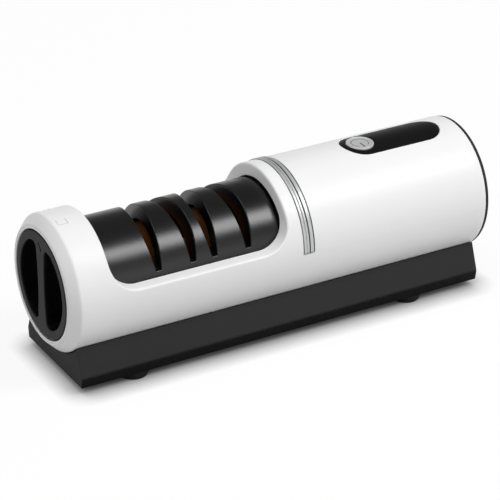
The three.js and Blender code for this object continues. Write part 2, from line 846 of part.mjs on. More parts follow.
const bearing = (x) => revolved([
  [x, bearingBore + slipGap],
  [x + bearingWidth, bearingBore + slipGap],
  [x + bearingWidth, bearingRadius],
  [x, bearingRadius],
]);

// Half of the jaw coupling: a hub with jaws that mesh with the other half's
function couplingHalf(x, facing, turn) {
  const hubFar = x - facing * couplingHub;
  const hub = ring(Math.min(x, hubFar), Math.max(x, hubFar), couplingBore(facing) + seatGap, couplingRadius);
  const jawRoot = x - facing * seatGap;
  const jawEnd = x + facing * jawLength;
  const jaws = [];
  for (let i = 0; i < jawCount; i += 1) {
    const start = degrees(turn) + (i / jawCount) * Math.PI * 2;
    const stop = start + degrees(jawTurn);
    const shape = new THREE.Shape();
    shape.absarc(0, 0, couplingRadius, start, stop, false);
    shape.absarc(0, 0, couplingRadius / 2, stop, start, true);
    jaws.push(lengthwise(shape, Math.min(jawRoot, jawEnd), Math.max(jawRoot, jawEnd), 2));
  }
  return joined(hub, ...jaws);
}

const couplingBore = (facing) => (facing > 0 ? shaftRadius : motorShaftRadius);

// Motor mount: a disc across the barrel with air windows, the motor's boss hole and screw holes
function motorMount() {
  const x0 = mountStart;
  const x1 = x0 + mountThickness;
  const windows = [];
  for (let i = 0; i < mountWindowCount; i += 1) {
    const angle = (i / mountWindowCount) * Math.PI * 2;
    windows.push(disc(
      x0 - cutOverrun,
      x1 + cutOverrun,
      mountWindowRadius,
      mountWindowPlace * Math.cos(angle),
      mountWindowPlace * Math.sin(angle),
    ));
  }
  const screwHoles = [-1, 1].map((side) =>
    disc(x0 - cutOverrun, x1 + cutOverrun, mountScrewRadius + seatGap, 0, side * mountScrewPlace));
  const boss = disc(x0 - cutOverrun, x1 + cutOverrun, motorBossRadius + seatGap);
  return cut(disc(x0, x1, mountRadius), boss, ...windows, ...screwHoles);
}

// Motor can: a cup open towards the end bell, with a boss in the mount
function motorCan() {
  const bossFront = motorStart - mountThickness;
  const body = revolved([
    [bossFront, motorShaftRadius + seatGap],
    [motorStart + motorWall, motorShaftRadius + seatGap],
    [motorStart + motorWall, motorInner],
    [motorEnd, motorInner],
    [motorEnd, motorRadius],
    [motorStart, motorRadius],
    [motorStart, motorBossRadius],
    [bossFront, motorBossRadius],
  ]);
  const holes = [-1, 1].map((side) =>
    disc(
      motorStart - cutOverrun,
      motorStart + motorWall + cutOverrun,
      mountScrewRadius + seatGap,
      0,
      side * mountScrewPlace,
    ));
  return cut(body, ...holes);
}

function motorEndBell() {
  const x0 = motorEnd + seatGap;
  const x1 = x0 + endBellLength;
  const x2 = x1 + endBellBossLength;
  return revolved([
    [x0, motorInner],
    [x1 - motorWall, motorInner],
    [x1 - motorWall, motorShaftRadius + seatGap],
    [x2, motorShaftRadius + seatGap],
    [x2, endBellBossRadius],
    [x1, endBellBossRadius],
    [x1, motorInner],
    [x1 - motorWall, motorRadius],
    [x0, motorRadius],
  ]);
}

// Curved magnet on one side of the can's bore
function magnet(side) {
  const outer = motorInner - seatGap;
  const inner = outer - magnetThickness;
  const middle = side > 0 ? 0 : Math.PI;
  const half = degrees(magnetTurn / 2);
  const shape = new THREE.Shape();
  shape.absarc(0, 0, outer, middle - half, middle + half, false);
  shape.absarc(0, 0, inner, middle + half, middle - half, true);
  return lengthwise(shape, motorCentre - magnetLength / 2, motorCentre + magnetLength / 2);
}

// Armature: a slotted stack on the motor's shaft
function armature() {
  const x0 = motorCentre - armatureLength / 2;
  const bore = motorShaftRadius + seatGap;
  const slotLow = bore + (armatureRadius - bore) * poleFloorShare;
  const slotHigh = armatureRadius + cutOverrun;
  const body = ring(x0, x0 + armatureLength, bore, armatureRadius);
  const slots = [];
  for (let i = 0; i < armaturePoles; i += 1) {
    const slot = new THREE.BoxGeometry(armatureLength + cutOverrun, poleSlotWidth, slotHigh - slotLow);
    slot.translate(motorCentre, 0, (slotLow + slotHigh) / 2);
    slot.rotateX((i / armaturePoles) * Math.PI * 2);
    slots.push(solidOf(slot));
  }
  return cut(body, ...slots);
}

function commutator() {
  const x0 = motorCentre + armatureLength / 2 + seatGap;
  return ring(x0, x0 + commutatorLength, motorShaftRadius + seatGap, commutatorRadius);
}

function mountScrew(side) {
  const z = side * mountScrewPlace;
  const head = mountStart - seatGap;
  return joined(
    disc(head - mountScrewHeadHeight, head, mountScrewHeadRadius, 0, z),
    disc(head - seatGap, head + mountScrewLength, mountScrewRadius, 0, z),
  );
}

// Ribbed band over the upper half of the barrel
function chromeBand() {
  const outer = barrelRadius + bandProud;
  const x0 = bandStart;
  const rib = (bandWidth - bandGroove * 2) / 3;
  const low = outer - bandGrooveDepth;
  const body = revolved([
    [x0, outer - bandThickness],
    [x0 + bandWidth, outer - bandThickness],
    [x0 + bandWidth, outer],
    [x0 + bandWidth - rib, outer],
    [x0 + bandWidth - rib, low],
    [x0 + bandWidth - rib - bandGroove, low],
    [x0 + bandWidth - rib - bandGroove, outer],
    [x0 + rib + bandGroove, outer],
    [x0 + rib + bandGroove, low],
    [x0 + rib, low],
    [x0 + rib, outer],
    [x0, outer],
  ]);
  const reach = outer + cutOverrun;
  return body.intersect(block(x0 - cutOverrun, x0 + bandWidth + cutOverrun, -reach, reach, 0, reach));
}

// Curved window plate with a flange behind the shell and a hole for the button
function controlWindow() {
  const top = barrelRadius - windowSunk;
  const seat = shellInner - seatGap;
  const x0 = windowStart;
  const x1 = windowEnd;
  const reach = barrelRadius + cutOverrun;
  const plate = upright(oblong(x0, x1, windowHalfWidth), 0, reach)
    .intersect(ring(x0, x1, seat - windowFlangeDepth, top));
  const flange = upright(oblong(x0 - windowFlange, x1 + windowFlange, windowHalfWidth + windowFlange), 0, reach)
    .intersect(ring(x0 - windowFlange, x1 + windowFlange, seat - windowFlangeDepth, seat));
  return cut(joined(plate, flange), post(buttonPlace, 0, 0, reach, buttonRadius + seatGap));
}

const buttonTop = barrelRadius + buttonProud;
const flangeRoof = shellInner - seatGap - windowFlangeDepth;
const buttonFlangeTop = Math.sqrt(flangeRoof ** 2 - buttonFlangeRadius ** 2) - seatGap;
const stemEnd = boardTop + tactHeight + buttonTravel + seatGap;

// Button: a shallow dome with a retaining flange and a stem over the switch
function powerButton() {
  const profile = [
    [0, stemEnd],
    [buttonStemRadius, stemEnd],
    [buttonStemRadius, buttonFlangeTop - buttonFlangeThickness],
    [buttonFlangeRadius, buttonFlangeTop - buttonFlangeThickness],
    [buttonFlangeRadius, buttonFlangeTop],
    [buttonRadius, buttonFlangeTop],
    [buttonRadius, buttonTop - buttonDome],
    ...domeShares.map(([out, down]) => [buttonRadius * out, buttonTop - buttonDome * down]),
    [0, buttonTop],
  ].map(([r, z]) => new THREE.Vector2(r, z));
  const geometry = new THREE.LatheGeometry(profile, facets(buttonRadius));
  geometry.rotateX(Math.PI / 2);
  geometry.translate(buttonPlace, 0, 0);
  return solidOf(geometry);
}

// Coil spring round the button's stem, as one tube along a helix
function buttonSpring() {
  const low = boardTop + seatGap + springWire;
  const high = buttonFlangeTop - buttonFlangeThickness - seatGap - springWire;
  const steps = springTurns * springStepsPerTurn;
  const points = [];
  for (let i = 0; i <= steps; i += 1) {
    const turn = (i / springStepsPerTurn) * Math.PI * 2;
    points.push(new THREE.Vector3(
      buttonPlace + springRadius * Math.cos(turn),
      springRadius * Math.sin(turn),
      low + ((high - low) * i) / steps,
    ));
  }
  const section = new THREE.Shape();
  section.absarc(0, 0, springWire, 0, Math.PI * 2);
  const geometry = new THREE.ExtrudeGeometry(section, {
    steps,
    curveSegments: 3,
    bevelEnabled: false,
    extrudePath: new THREE.CatmullRomCurve3(points),
  });
  return solidOf(geometry);
}

function tactSwitch() {
  const x = buttonPlace;
  const low = boardTop + seatGap;
  return block(x - tactHalfWidth, x + tactHalfWidth, -tactHalfWidth, tactHalfWidth, low, boardTop + tactHeight);
}

function switchBoard() {
  const x0 = windowStart;
  const x1 = windowEnd;
  return block(x0, x1, -boardHalfWidth, boardHalfWidth, boardTop - boardThickness, boardTop);
}

// End cap: a disc with a spigot in the shell and a round recess for the power plug
function endCap() {
  const spigot = shellInner - seatGap;
  const body = revolved([
    [capBack - capSpigotLength, spigot - capSpigotWall],
    [capBack, spigot - capSpigotWall],
    [capBack, 0],
    [capFace, 0],
    [capFace, capRadius - capThickness / 2],
    [capFace - capThickness / 2, capRadius],
    [capBack, capRadius],
    [capBack, spigot],
    [capBack - capSpigotLength, spigot],
  ]);
  const floor = capFace - socketRecessDepth;
  const cupRadius = socketRecessRadius + socketRecessWall;
  const cup = disc(floor - socketRecessWall, capBack + seatGap, cupRadius, 0, -socketDrop);
  return cut(
    joined(body, cup),
    disc(floor, capFace + cutOverrun, socketRecessRadius, 0, -socketDrop),
    disc(floor - cutOverrun, floor + cutOverrun, socketBoreRadius + seatGap, 0, -socketDrop),
  );
}

// Power socket behind the recess, with its bore and centre pin
function dcSocket() {
  const face = capFace - socketRecessDepth - socketRecessWall - seatGap;
  const back = face - socketLength;
  const body = block(
    back,
    face,
    -socketHalfWidth,
    socketHalfWidth,
    -socketDrop - socketHalfWidth,
    -socketDrop + socketHalfWidth,
  );
  const bore = disc(face - socketBoreDepth, face + cutOverrun, socketBoreRadius, 0, -socketDrop);
  const pin = disc(face - socketBoreDepth - seatGap, face, socketPinRadius, 0, -socketDrop);
  return joined(cut(body, bore), pin);
}

// Half section of the base's outside: upright foot, soft crease and sloping side, as [y, z]
function baseOutline(inset) {
  const foot = baseHalfWidth - inset;
  const crease = -baseCreaseDrop;
  const shoulder = baseShoulderHalfWidth - inset;
  const slope = Math.atan2(baseHalfWidth - baseShoulderHalfWidth, baseCreaseDrop - baseShoulderDrop);
  const half = baseCreaseRound;
  const side = [
    [foot, -baseDrop],
    [foot, crease - half],
    [foot - half * Math.sin(slope) * creaseShare, crease],
    [foot - half * Math.sin(slope), crease + half * Math.cos(slope)],
    [shoulder, -baseShoulderDrop],
  ];
  return [...side, ...side.map(([y, z]) => [-y, z]).reverse()];
}

// Base: a tapered housing, open below, whose top is a cradle for the barrel
function baseHousing() {
  const x0 = baseFront;
  const x1 = baseBack;
  const outer = lengthwise(polygon(baseOutline(0)), x0, x1);
  const inner = lengthwise(polygon(baseOutline(baseWall)), x0 + baseWall, x1 - baseWall)
    .subtract(disc(x0, x1, barrelRadius + seatGap + cradleThickness));
  const plateHalf = baseHalfWidth - baseWall;
  const plateTop = -baseDrop + basePlateThickness;
  const mouth = block(x0 + baseWall, x1 - baseWall, -plateHalf, plateHalf, -baseDrop - cutOverrun, plateTop);
  const cradle = barrelRadius + seatGap + cradleThickness;
  const bosses = baseScrewSpots().map(([x, y]) =>
    post(x, y, plateTop + seatGap, -Math.sqrt(cradle ** 2 - y ** 2) + cradleThickness / 2, baseBossRadius));
  const holes = baseScrewSpots().map(([x, y]) =>
    post(x, y, -baseDrop, -baseDrop + baseScrewLength, baseScrewRadius + seatGap));
  const saddle = disc(x0 - cutOverrun, x1 + cutOverrun, barrelRadius + seatGap);
  const cradleHoles = barrelScrewSpots().map((x) =>
    post(x, 0, -(cradle + cutOverrun), -barrelRadius, baseScrewRadius + seatGap));
  return cut(joined(cut(outer, inner, mouth), ...bosses), ...holes, saddle, ...cradleHoles);
}

function baseScrewSpots() {
  const x0 = baseFront + baseScrewInset;
  const x1 = baseBack - baseScrewInset;
  return [[x0, -baseScrewPlace], [x1, -baseScrewPlace], [x0, baseScrewPlace], [x1, baseScrewPlace]];
}

function basePlate() {
  const inset = baseWall + seatGap;
  const plate = block(
    baseFront + inset,
    baseBack - inset,
    -(baseHalfWidth - inset),
    baseHalfWidth - inset,
    -baseDrop,
    -baseDrop + basePlateThickness,
  );
  const holes = baseScrewSpots().map(([x, y]) => joined(
    post(x, y, -baseDrop - cutOverrun, -baseDrop + basePlateThickness + cutOverrun, baseScrewRadius + seatGap),
    post(x, y, -baseDrop - cutOverrun, -baseDrop + baseScrewHeadHeight, baseScrewHeadRadius + seatGap),
  ));
  return cut(plate, ...holes);
}

function baseScrew([x, y]) {
  return joined(
    post(x, y, -baseDrop + slipGap, -baseDrop + baseScrewHeadHeight - seatGap, baseScrewHeadRadius),
    post(x, y, -baseDrop + seatGap, -baseDrop + baseScrewLength - seatGap, baseScrewRadius),
  );
}

// Screw from inside the base up into the barrel
function barrelScrew(x) {
  const seat = -(barrelRadius + seatGap + cradleThickness) - seatGap;
  return joined(
    post(x, 0, seat - baseScrewHeadHeight, seat, baseScrewHeadRadius),
    post(x, 0, seat - seatGap, -shellInner, baseScrewRadius),
  );
}

// Foot: a tapered rubber disc with a rounded lower edge
function foot(x, y) {
  const top = -baseDrop - seatGap;
  const low = -baseDrop - footHeight;
  const profile = [
    [0, low],
    [footRadius - footTaper - footRound, low],
    [footRadius - footTaper - footRound * edgeShare, low + footRound * edgeShare],
    [footRadius - footTaper, low + footRound],
    [footRadius, top],
    [0, top],
  ].map(([r, z]) => new THREE.Vector2(r, z));
  const geometry = new THREE.LatheGeometry(profile, facets(footRadius));
  geometry.rotateX(Math.PI / 2);
  geometry.translate(x, y, 0);
  return solidOf(geometry);
}

// Sleeve on the wheel shaft between two places
const spacer = (x0, x1) => ring(x0 + seatGap, x1 - seatGap, shaftRadius + seatGap, spacerRadius);

place('barrel_shell', barrelShell(), whiteShell());
place('dial', dial(), dialGrey());
place('dial_spindle', dialSpindle(), steel());
place('latch_cam', latchCam(), zinc());
place('latch_bolt_near', latchBolt(-1), steel());
place('latch_bolt_far', latchBolt(1), steel());
place('detent_spring', detentSpring(), steel());
place('cassette_front', cassetteFront(), greyNylon());
place('cassette_bed', cassetteBed(), greyNylon());
place('guide_cover', guideCover(), satinBlack());
place('front_bearing', bearing(bearingFront), steel());
place('rear_bearing', bearing(rearBearingStart), steel());
place('wheel_shaft', disc(bearingFront, couplingFace + jawLength / 2, shaftRadius), steel());
place('coarse_wheel_left', wheelAt(coarseStage, -1), abrasive());
place('coarse_wheel_right', wheelAt(coarseStage, 1), abrasive());
place('fine_wheel_left', wheelAt(fineStage, -1), abrasive());
place('fine_wheel_right', wheelAt(fineStage, 1), abrasive());
place('front_spacer', spacer(bearingFront + bearingWidth, coarseStage - wheelHubFront), zinc());
place('coarse_spacer', spacer(coarseStage - wheelBack, coarseStage + wheelBack), zinc());
place('centre_spacer', spacer(coarseStage + wheelHubFront, fineStage - wheelHubFront), zinc());
place('fine_spacer', spacer(fineStage - wheelBack, fineStage + wheelBack), zinc());
place('rear_spacer', spacer(fineStage + wheelHubFront, rearBearingStart), zinc());
place('wheel_coupling', couplingHalf(couplingFace, 1, 0), greyNylon());
place('motor_coupling', couplingHalf(couplingFace + jawLength + seatGap, -1, 180 / jawCount), greyNylon());
place('motor_mount', motorMount(), zinc());
place('motor_can', motorCan(), steel());
place('motor_end_bell', motorEndBell(), greyNylon());
const motorShaftEnd = motorEnd + endBellLength + endBellBossLength;
place('motor_shaft', disc(couplingFace + jawLength, motorShaftEnd, motorShaftRadius), steel());
place('armature', armature(), ferrite());
place('commutator', commutator(), copper());
place('magnet_near', magnet(-1), ferrite());
place('magnet_far', magnet(1), ferrite());
place('mount_screw_upper', mountScrew(1), steel());
place('mount_screw_lower', mountScrew(-1), steel());
place('chrome_band', chromeBand(), chrome());
place('control_window', controlWindow(), glossBlack());
place('power_button', powerButton(), silver());
place('button_spring', buttonSpring(), steel());
place('tact_switch', tactSwitch(), ferrite());
place('switch_board', switchBoard(), boardGreen());
place('end_cap', endCap(), satinBlack());
place('power_socket', dcSocket(), glossBlack());
place('base_housing', baseHousing(), charcoal());
place('base_plate', basePlate(), charcoal());
const cornerNames = ['near_left', 'near_right', 'far_left', 'far_right'];
baseScrewSpots().forEach((spot, i) => place(`base_screw_${cornerNames[i]}`, baseScrew(spot), steel()));
barrelScrewSpots().forEach((x, i) => place(`barrel_screw_${['left', 'right'][i]}`, barrelScrew(x), steel()));
const footSpots = [-footPlace, footPlace].flatMap((y) => [[footFront, y], [footBack, y]]);
footSpots.forEach(([x, y], i) => place(`foot_${cornerNames[i]}`, foot(x, y), rubber()));

export default parts;
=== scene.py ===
"""Electric knife sharpener: finished surfaces, finishes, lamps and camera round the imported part."""

import math

import bmesh
import bpy
import numpy as np
from mathutils import Matrix, Vector


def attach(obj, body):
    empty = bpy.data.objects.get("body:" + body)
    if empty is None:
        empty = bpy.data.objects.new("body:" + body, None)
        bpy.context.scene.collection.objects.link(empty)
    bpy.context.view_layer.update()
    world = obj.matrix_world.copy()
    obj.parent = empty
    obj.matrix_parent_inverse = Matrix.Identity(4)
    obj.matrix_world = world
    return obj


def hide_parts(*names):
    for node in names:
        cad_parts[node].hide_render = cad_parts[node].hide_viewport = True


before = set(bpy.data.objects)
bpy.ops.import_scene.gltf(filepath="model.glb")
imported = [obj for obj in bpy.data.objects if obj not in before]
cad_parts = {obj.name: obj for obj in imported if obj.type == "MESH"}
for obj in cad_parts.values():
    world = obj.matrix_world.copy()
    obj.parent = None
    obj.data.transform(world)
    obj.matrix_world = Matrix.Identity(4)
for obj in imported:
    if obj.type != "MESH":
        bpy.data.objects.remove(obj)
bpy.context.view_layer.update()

# Sizes in millimetres. What is on the barrel's round is a radius, or a height over its axis
MM = 0.001
WELD = 0.000002  # metres between points that become one
AXIS = 48.6
BARREL = 35.0
SHELL_INSIDE = 32.2
BORE = 28.3
FACE = -120.0
SHELL_END = 118.2
OPENING = (-97.6, 1.0)
OPENING_FLOOR = 4.5
OPENING_CORNER = 15.0
OPENING_LIP = 1.1
LEDGE = 2.4
LEDGE_SOFT = 0.3
COLLAR_BACK = -103.0
SKIN_START = -113.4
BAND = (8.3, 14.3)
BAND_GAP = 0.3
BAND_SEAT = 33.6
BAND_HALF_TURN = 90.55  # degrees
BAND_PROUD = 0.5
WINDOW = (51.5, 108.6)
WINDOW_HALF = 10.95
WINDOW_TOP = 34.97
WINDOW_LIP = 0.4
PLATE_LIP = 0.25
PLATE_THICK = 3.0
WINDOW_BLOCK = np.linspace(46, 114, 25)
BLOCK_HALF = 9  # grid steps to each side of the top
GUIDE = 28.0
GUIDE_WALL = 2.0
GUIDE_SPAN = (-97.9, 0.7)
GUIDE_ROUND = 2.3
GUIDE_BORE = 8.0
STAGES = (-59.7, -28.7)
SLOT_FLOOR = 7.2
SLOT_HALF = 1.45
SLOT_OFFSET = 6.9
SLOT_OUTER_RUN = 4.2
SLOT_INNER_RUN = 0.95
SLOT_SKEW = 0.097
SLOT_WALL = 1.6
SLOT_LIP = 0.35
WHEEL_ROOM = 20.8
# Reach and edge of the painted reflection of the brown wheels on a slot's outer wall
WHEEL_GLOW_REACH = 25.4
WHEEL_GLOW_EDGE = 0.4
WHEEL = 19.0
WHEEL_BORE = 3.3
DIAL = 27.7
DIAL_EDGE = 0.9
DIAL_BACK = -105.0
SCOOP = 23.2
SCOOP_HALF = 21.0
SCOOP_DEPTH = 12.4
SCOOP_DRAW = 3.4
SCOOP_LIP = 0.55
SCOOP_TIP = 3
GRIP_HALF = 3.4
SLIT_HALF = 0.65
SLIT_DEPTH = 1.6
BUTTON_PLACE = 61.9
BUTTON = 7.35
BUTTON_RIM = 0.95
BUTTON_SINK = 0.3
BUTTON_TOP = 35.1
BUTTON_GAP = 0.3
BUTTON_FOOT = 26.6
SIGN_RADIUS = 4.5
SIGN_BAR = (-0.4, -5.3)
SIGN_LIFT = 0.07
BASE_SPAN = (-114.0, 117.8)
BASE_HALF = 29.7
BASE_LOW = -45.0
BASE_CREASE = (30.6, -39.6)
BASE_SHOULDER = (25.2, -25.0)
BASE_WALL = 2.5
BASE_END_ROUND = 0.4
POST = 4.0
CRADLE = 35.3
SOCKET_DROP = 20.0
FOOT_PLACES = [(x, y) for y in (-22.4, 22.4) for x in (-82.1, 78.4)]
FOOT_NAMES = ["near_left", "near_right", "far_left", "far_right"]
SCREW_PLACES = [(x, y) for y in (-18.0, 18.0) for x in (-100.0, 103.8)]


# Shapes

def spot(x, y, z):
    """Points from places along the barrel, distances to the far side and heights over its axis."""
    return np.stack(np.broadcast_arrays(x, y, AXIS + z), -1)


def tube(x, turn, radius):
    """Point at place x, turned from the top towards the near side, at a radius from the barrel's axis:
    y is minus radius times the sine of the turn, z is the axis plus radius times its cosine."""
    return spot(x, -radius * np.sin(turn), radius * np.cos(turn))


def put(name, data):
    """New object in the scene."""
    piece = bpy.data.objects.new(name, data)
    bpy.context.scene.collection.objects.link(piece)
    return piece


def smooth(mesh, sharp):
    """Rounded shading that keeps the edges that turn by more than the given degrees."""
    mesh.polygons.foreach_set("use_smooth", np.ones(len(mesh.polygons), bool))
    mesh.set_sharp_from_angle(angle=math.radians(sharp))


def weld(name, sheets, sharp=38, lids=()):
    """One mesh from sheets. A sheet is a grid of points in millimetres, rows by columns by 3, a flag where
    its last column joins its first, and sometimes a mask of the cells that stay. A lid is a flat loop of
    points that becomes one face. Equal points become one."""
    corners, faces, start = [], [], 0
    for points, wrap, *keep in sheets:
        rows, columns = points.shape[:2]
        row = np.arange(rows - 1)[:, None]
        column = np.arange(columns if wrap else columns - 1)[None, :]
        after = (column + 1) % columns
        low, high = row * columns, (row + 1) * columns
        quads = np.stack([low + column, low + after, high + after, high + column], -1)
        quads = quads[keep[0]] if keep else quads.reshape(-1, 4)
        corners.append(points.reshape(-1, 3))
        faces += (quads + start).tolist()
        start += rows * columns
    for lid in lids:
        corners.append(lid)
        faces.append((np.arange(len(lid)) + start).tolist())
        start += len(lid)
    mesh = bpy.data.meshes.new(name)
    mesh.from_pydata(np.concatenate(corners) * MM, [], faces)
    tidy(mesh)
    smooth(mesh, sharp)
    return put(name, mesh)


def tidy(mesh):
    """Makes equal points one, takes out faces with no area and points with no face, and turns all faces
    outwards."""
    work = bmesh.new()
    work.from_mesh(mesh)
    bmesh.ops.remove_doubles(work, verts=work.verts, dist=WELD)
    bmesh.ops.dissolve_degenerate(work, edges=work.edges, dist=WELD / 2)
    bmesh.ops.triangulate(work, faces=[face for face in work.faces if len(face.verts) > 4])
    bmesh.ops.delete(work, geom=[point for point in work.verts if not point.link_faces], context="VERTS")
    bmesh.ops.recalc_face_normals(work, faces=work.faces)
    if work.calc_volume(signed=True) < 0:
        bmesh.ops.reverse_faces(work, faces=work.faces)
    work.to_mesh(mesh)
    work.free()


def carve(piece, tools, sharp=38):
    """Takes the tools' volume out of the piece, keeps the result as its mesh and deletes the tools."""
    for tool in tools:
        change = piece.modifiers.new("carve", "BOOLEAN")
        change.operation = "DIFFERENCE"
        change.solver = "MANIFOLD"
        change.object = tool
    graph = bpy.context.evaluated_depsgraph_get()
    carved = bpy.data.meshes.new_from_object(piece.evaluated_get(graph))
    carved.name = piece.name
    piece.modifiers.clear()
    piece.data = carved
    smooth(carved, sharp)
    for tool in tools:
        bpy.data.objects.remove(tool)
    return piece


def soften(points, reach, steps=5):
    """Line through points, where each inner corner becomes a parabola that leaves one leg and meets the
    next at its reach from the corner: (1-t)^2 a + 2t(1-t) corner + t^2 b."""
    points = np.asarray(points, float)
    t = np.linspace(0, 1, steps)[:, None]
    line = [points[:1]]
    for before, corner, after, far in zip(points, points[1:], points[2:], reach):
        a = corner + (before - corner) * far / np.linalg.norm(before - corner)
        b = corner + (after - corner) * far / np.linalg.norm(after - corner)
        line.append((1 - t) ** 2 * a + 2 * t * (1 - t) * corner + t ** 2 * b)
    return np.concatenate([*line, points[-1:]])


def revolve(name, profile, centre, count, sharp=38, upright=False):
    """Piece from a profile of (along, radius) points turned once round an axis: along X at the centre's y
    and z, or upright at its x and y. A point at radius 0 closes the shape."""
    profile = np.asarray(profile, float)
    turn = np.linspace(0, 2 * np.pi, count, endpoint=False)[None, :]
    side, rise = profile[:, 1:] * np.sin(turn), profile[:, 1:] * np.cos(turn)
    along = np.broadcast_to(profile[:, :1], side.shape)
    columns = (along, centre[0] - side, centre[1] + rise)
    if upright:
        columns = (centre[0] + side, centre[1] + rise, along)
    return weld(name, [(np.stack(columns, -1), True)], sharp)


def resample(run, count):
    """Points at even distances along a line of two-column points."""
    steps = np.hypot(*np.diff(run, axis=0).T)
    distance = np.r_[0, np.cumsum(steps)]
    wanted = np.linspace(0, distance[-1], count)
    return np.stack([np.interp(wanted, distance, run[:, k]) for k in (0, 1)], -1)


def closed(runs):
    """One loop from runs that start where the last one ends."""
    return np.concatenate([run[:-1] for run in runs])


def outward(loop):
    """Unit normals of a loop of two-column points, from the line between each point's neighbours."""
    along = np.roll(loop, -1, 0) - np.roll(loop, 1, 0)
    along /= np.linalg.norm(along, axis=1, keepdims=True)
    return np.stack([-along[:, 1], along[:, 0]], -1)


def spread(outer, inner, rows, ease=1.7):
    """Rows that step from an outer loop to an inner one, closer together towards the inner one:
    outer + (inner - outer)(1 - (1 - t)^ease)."""
    t = 1 - (1 - np.linspace(0, 1, rows)) ** ease
    return outer + (inner - outer) * t[:, None, None]


def rounded_runs(x0, x1, half, corner, turn_of, counts):
    """Rounded rectangle from x0 to x1 and from -half to half, as four runs that meet at the middles of its
    corners, with its second measure made a distance over the barrel's skin."""
    flat = half - corner
    straight = np.linspace(-flat, flat, 300)

    def quarter(start, end):
        """How far in and how far over a corner's points lie, between two angles in degrees."""
        a = np.radians(np.linspace(start, end, 24))
        return corner - corner * np.cos(a), flat + corner * np.sin(a)

    inset, over = quarter(45, 0)
    left = np.concatenate([
        np.c_[x0 + inset, -over], np.c_[np.full(300, x0), straight], np.c_[x0 + inset, over][::-1]])
    inset, over = quarter(45, 90)
    near = np.r_[np.c_[x0 + inset, over], np.c_[x1 - inset, over][::-1]]
    right = np.c_[x0 + x1 - left[:, 0], left[:, 1]][::-1]
    far = np.c_[near[:, 0], -near[:, 1]][::-1]
    runs = []
    for run, count in zip((left, near, right, far), counts):
        runs.append(resample(np.c_[run[:, 0], BARREL * turn_of(run[:, 1])], count))
    return closed(runs)


def frame_loop(x0, x1, over, count):
    """Loop round a patch: place along the barrel, and a second measure that takes the given steps over it."""
    along = np.linspace(x0, x1, count)
    return closed([
        np.c_[np.full(len(over), x0), over],
        np.c_[along, np.full(count, over[-1])],
        np.c_[np.full(len(over), x1), over[::-1]],
        np.c_[along[::-1], np.full(count, over[0])],
    ])


def lip_steps(reach, steps):
    """Quarter round from the skin to the wall, as (distance out, depth): reach times (1 - cos a) and
    reach times (1 - sin a)."""
    a = np.radians(np.linspace(90, 0, steps))
    return np.stack([reach * (1 - np.cos(a)), reach * (1 - np.sin(a))], -1)


UPPER_TURNS = np.radians(np.r_[-100, -95.5, -90.6, np.linspace(-90.5, 90.5, 63), 90.6, 95.5, 100])
LOWER_TURNS = np.radians(np.linspace(100, 260, 45))
ROUND_TURNS = np.r_[UPPER_TURNS, LOWER_TURNS[1:-1]]
SKIN_COUNT = 72
FLOOR_COUNT = 9


def lipped(border, loop, out, lip, count, steps):
    """Rows of skin from a border in to a loop, then a quarter round into the loop's wall. The second
    measure of the border and the loop is a distance over the skin."""
    skin = spread(border, loop + out * lip, count)
    rows = [tube(skin[..., 0], skin[..., 1] / BARREL, BARREL)]
    for far, deep in lip_steps(lip, steps)[1:]:
        place = loop + out * far
        rows.append(tube(place[:, 0], place[:, 1] / BARREL, BARREL - deep)[None])
    return rows


def inside_rows(border, loop, radius, count, ease=1.0):
    """Rows on the inside of the skin, from a loop of place and turn out to a border."""
    rows = spread(border, loop, count, ease)[::-1]
    return tube(rows[..., 0], rows[..., 1], radius)


def opening_sheet():
    """Skin round the opening, its rounded lip, its wall down to the cover, and the inside of the skin. The
    wall keeps its height where it is a ledge, and turns evenly between the two ledges over the top."""
    side = len(UPPER_TURNS)
    loop = rounded_runs(
        *OPENING, BARREL - OPENING_FLOOR, OPENING_CORNER,
        lambda v: np.sign(v) * np.arccos(1 - np.abs(v) / BARREL),
        (side, SKIN_COUNT, side, SKIN_COUNT),
    )
    out = outward(loop)
    border = frame_loop(SKIN_START, BAND[0] - BAND_GAP, BARREL * UPPER_TURNS, SKIN_COUNT)
    rows = lipped(border, loop, out, OPENING_LIP, 26, 7)
    turn = loop[:, 1] / BARREL
    corner_height = OPENING_FLOOR + OPENING_CORNER
    corner_turn = np.arccos(corner_height / BARREL)

    def wall_turn(radius):
        low = np.sign(turn) * np.arccos(np.clip(BARREL * np.cos(turn) / radius, -1, 1))
        high = turn * np.arccos(corner_height / radius) / corner_turn
        return np.where(np.abs(turn) > corner_turn, low, high)

    soft = BORE + LEDGE_SOFT
    for radius in np.linspace(BARREL - OPENING_LIP, soft, 6)[1:]:
        rows.append(tube(loop[:, 0], wall_turn(radius), radius)[None])
    for far, radius in ((0.0, soft), (LEDGE_SOFT, BORE), (LEDGE, BORE), (LEDGE, SHELL_INSIDE)):
        turns = wall_turn(BORE) + out[:, 1] * far / BORE
        rows.append(tube(loop[:, 0] + out[:, 0] * far, turns, radius)[None])
    inside_border = np.c_[np.maximum(border[:, 0], COLLAR_BACK), border[:, 1] / BARREL]
    inside_loop = np.c_[loop[:, 0] + out[:, 0] * LEDGE, wall_turn(BORE) + out[:, 1] * LEDGE / BORE]
    rows.append(inside_rows(inside_border, inside_loop, SHELL_INSIDE, 8))
    return np.concatenate(rows), True


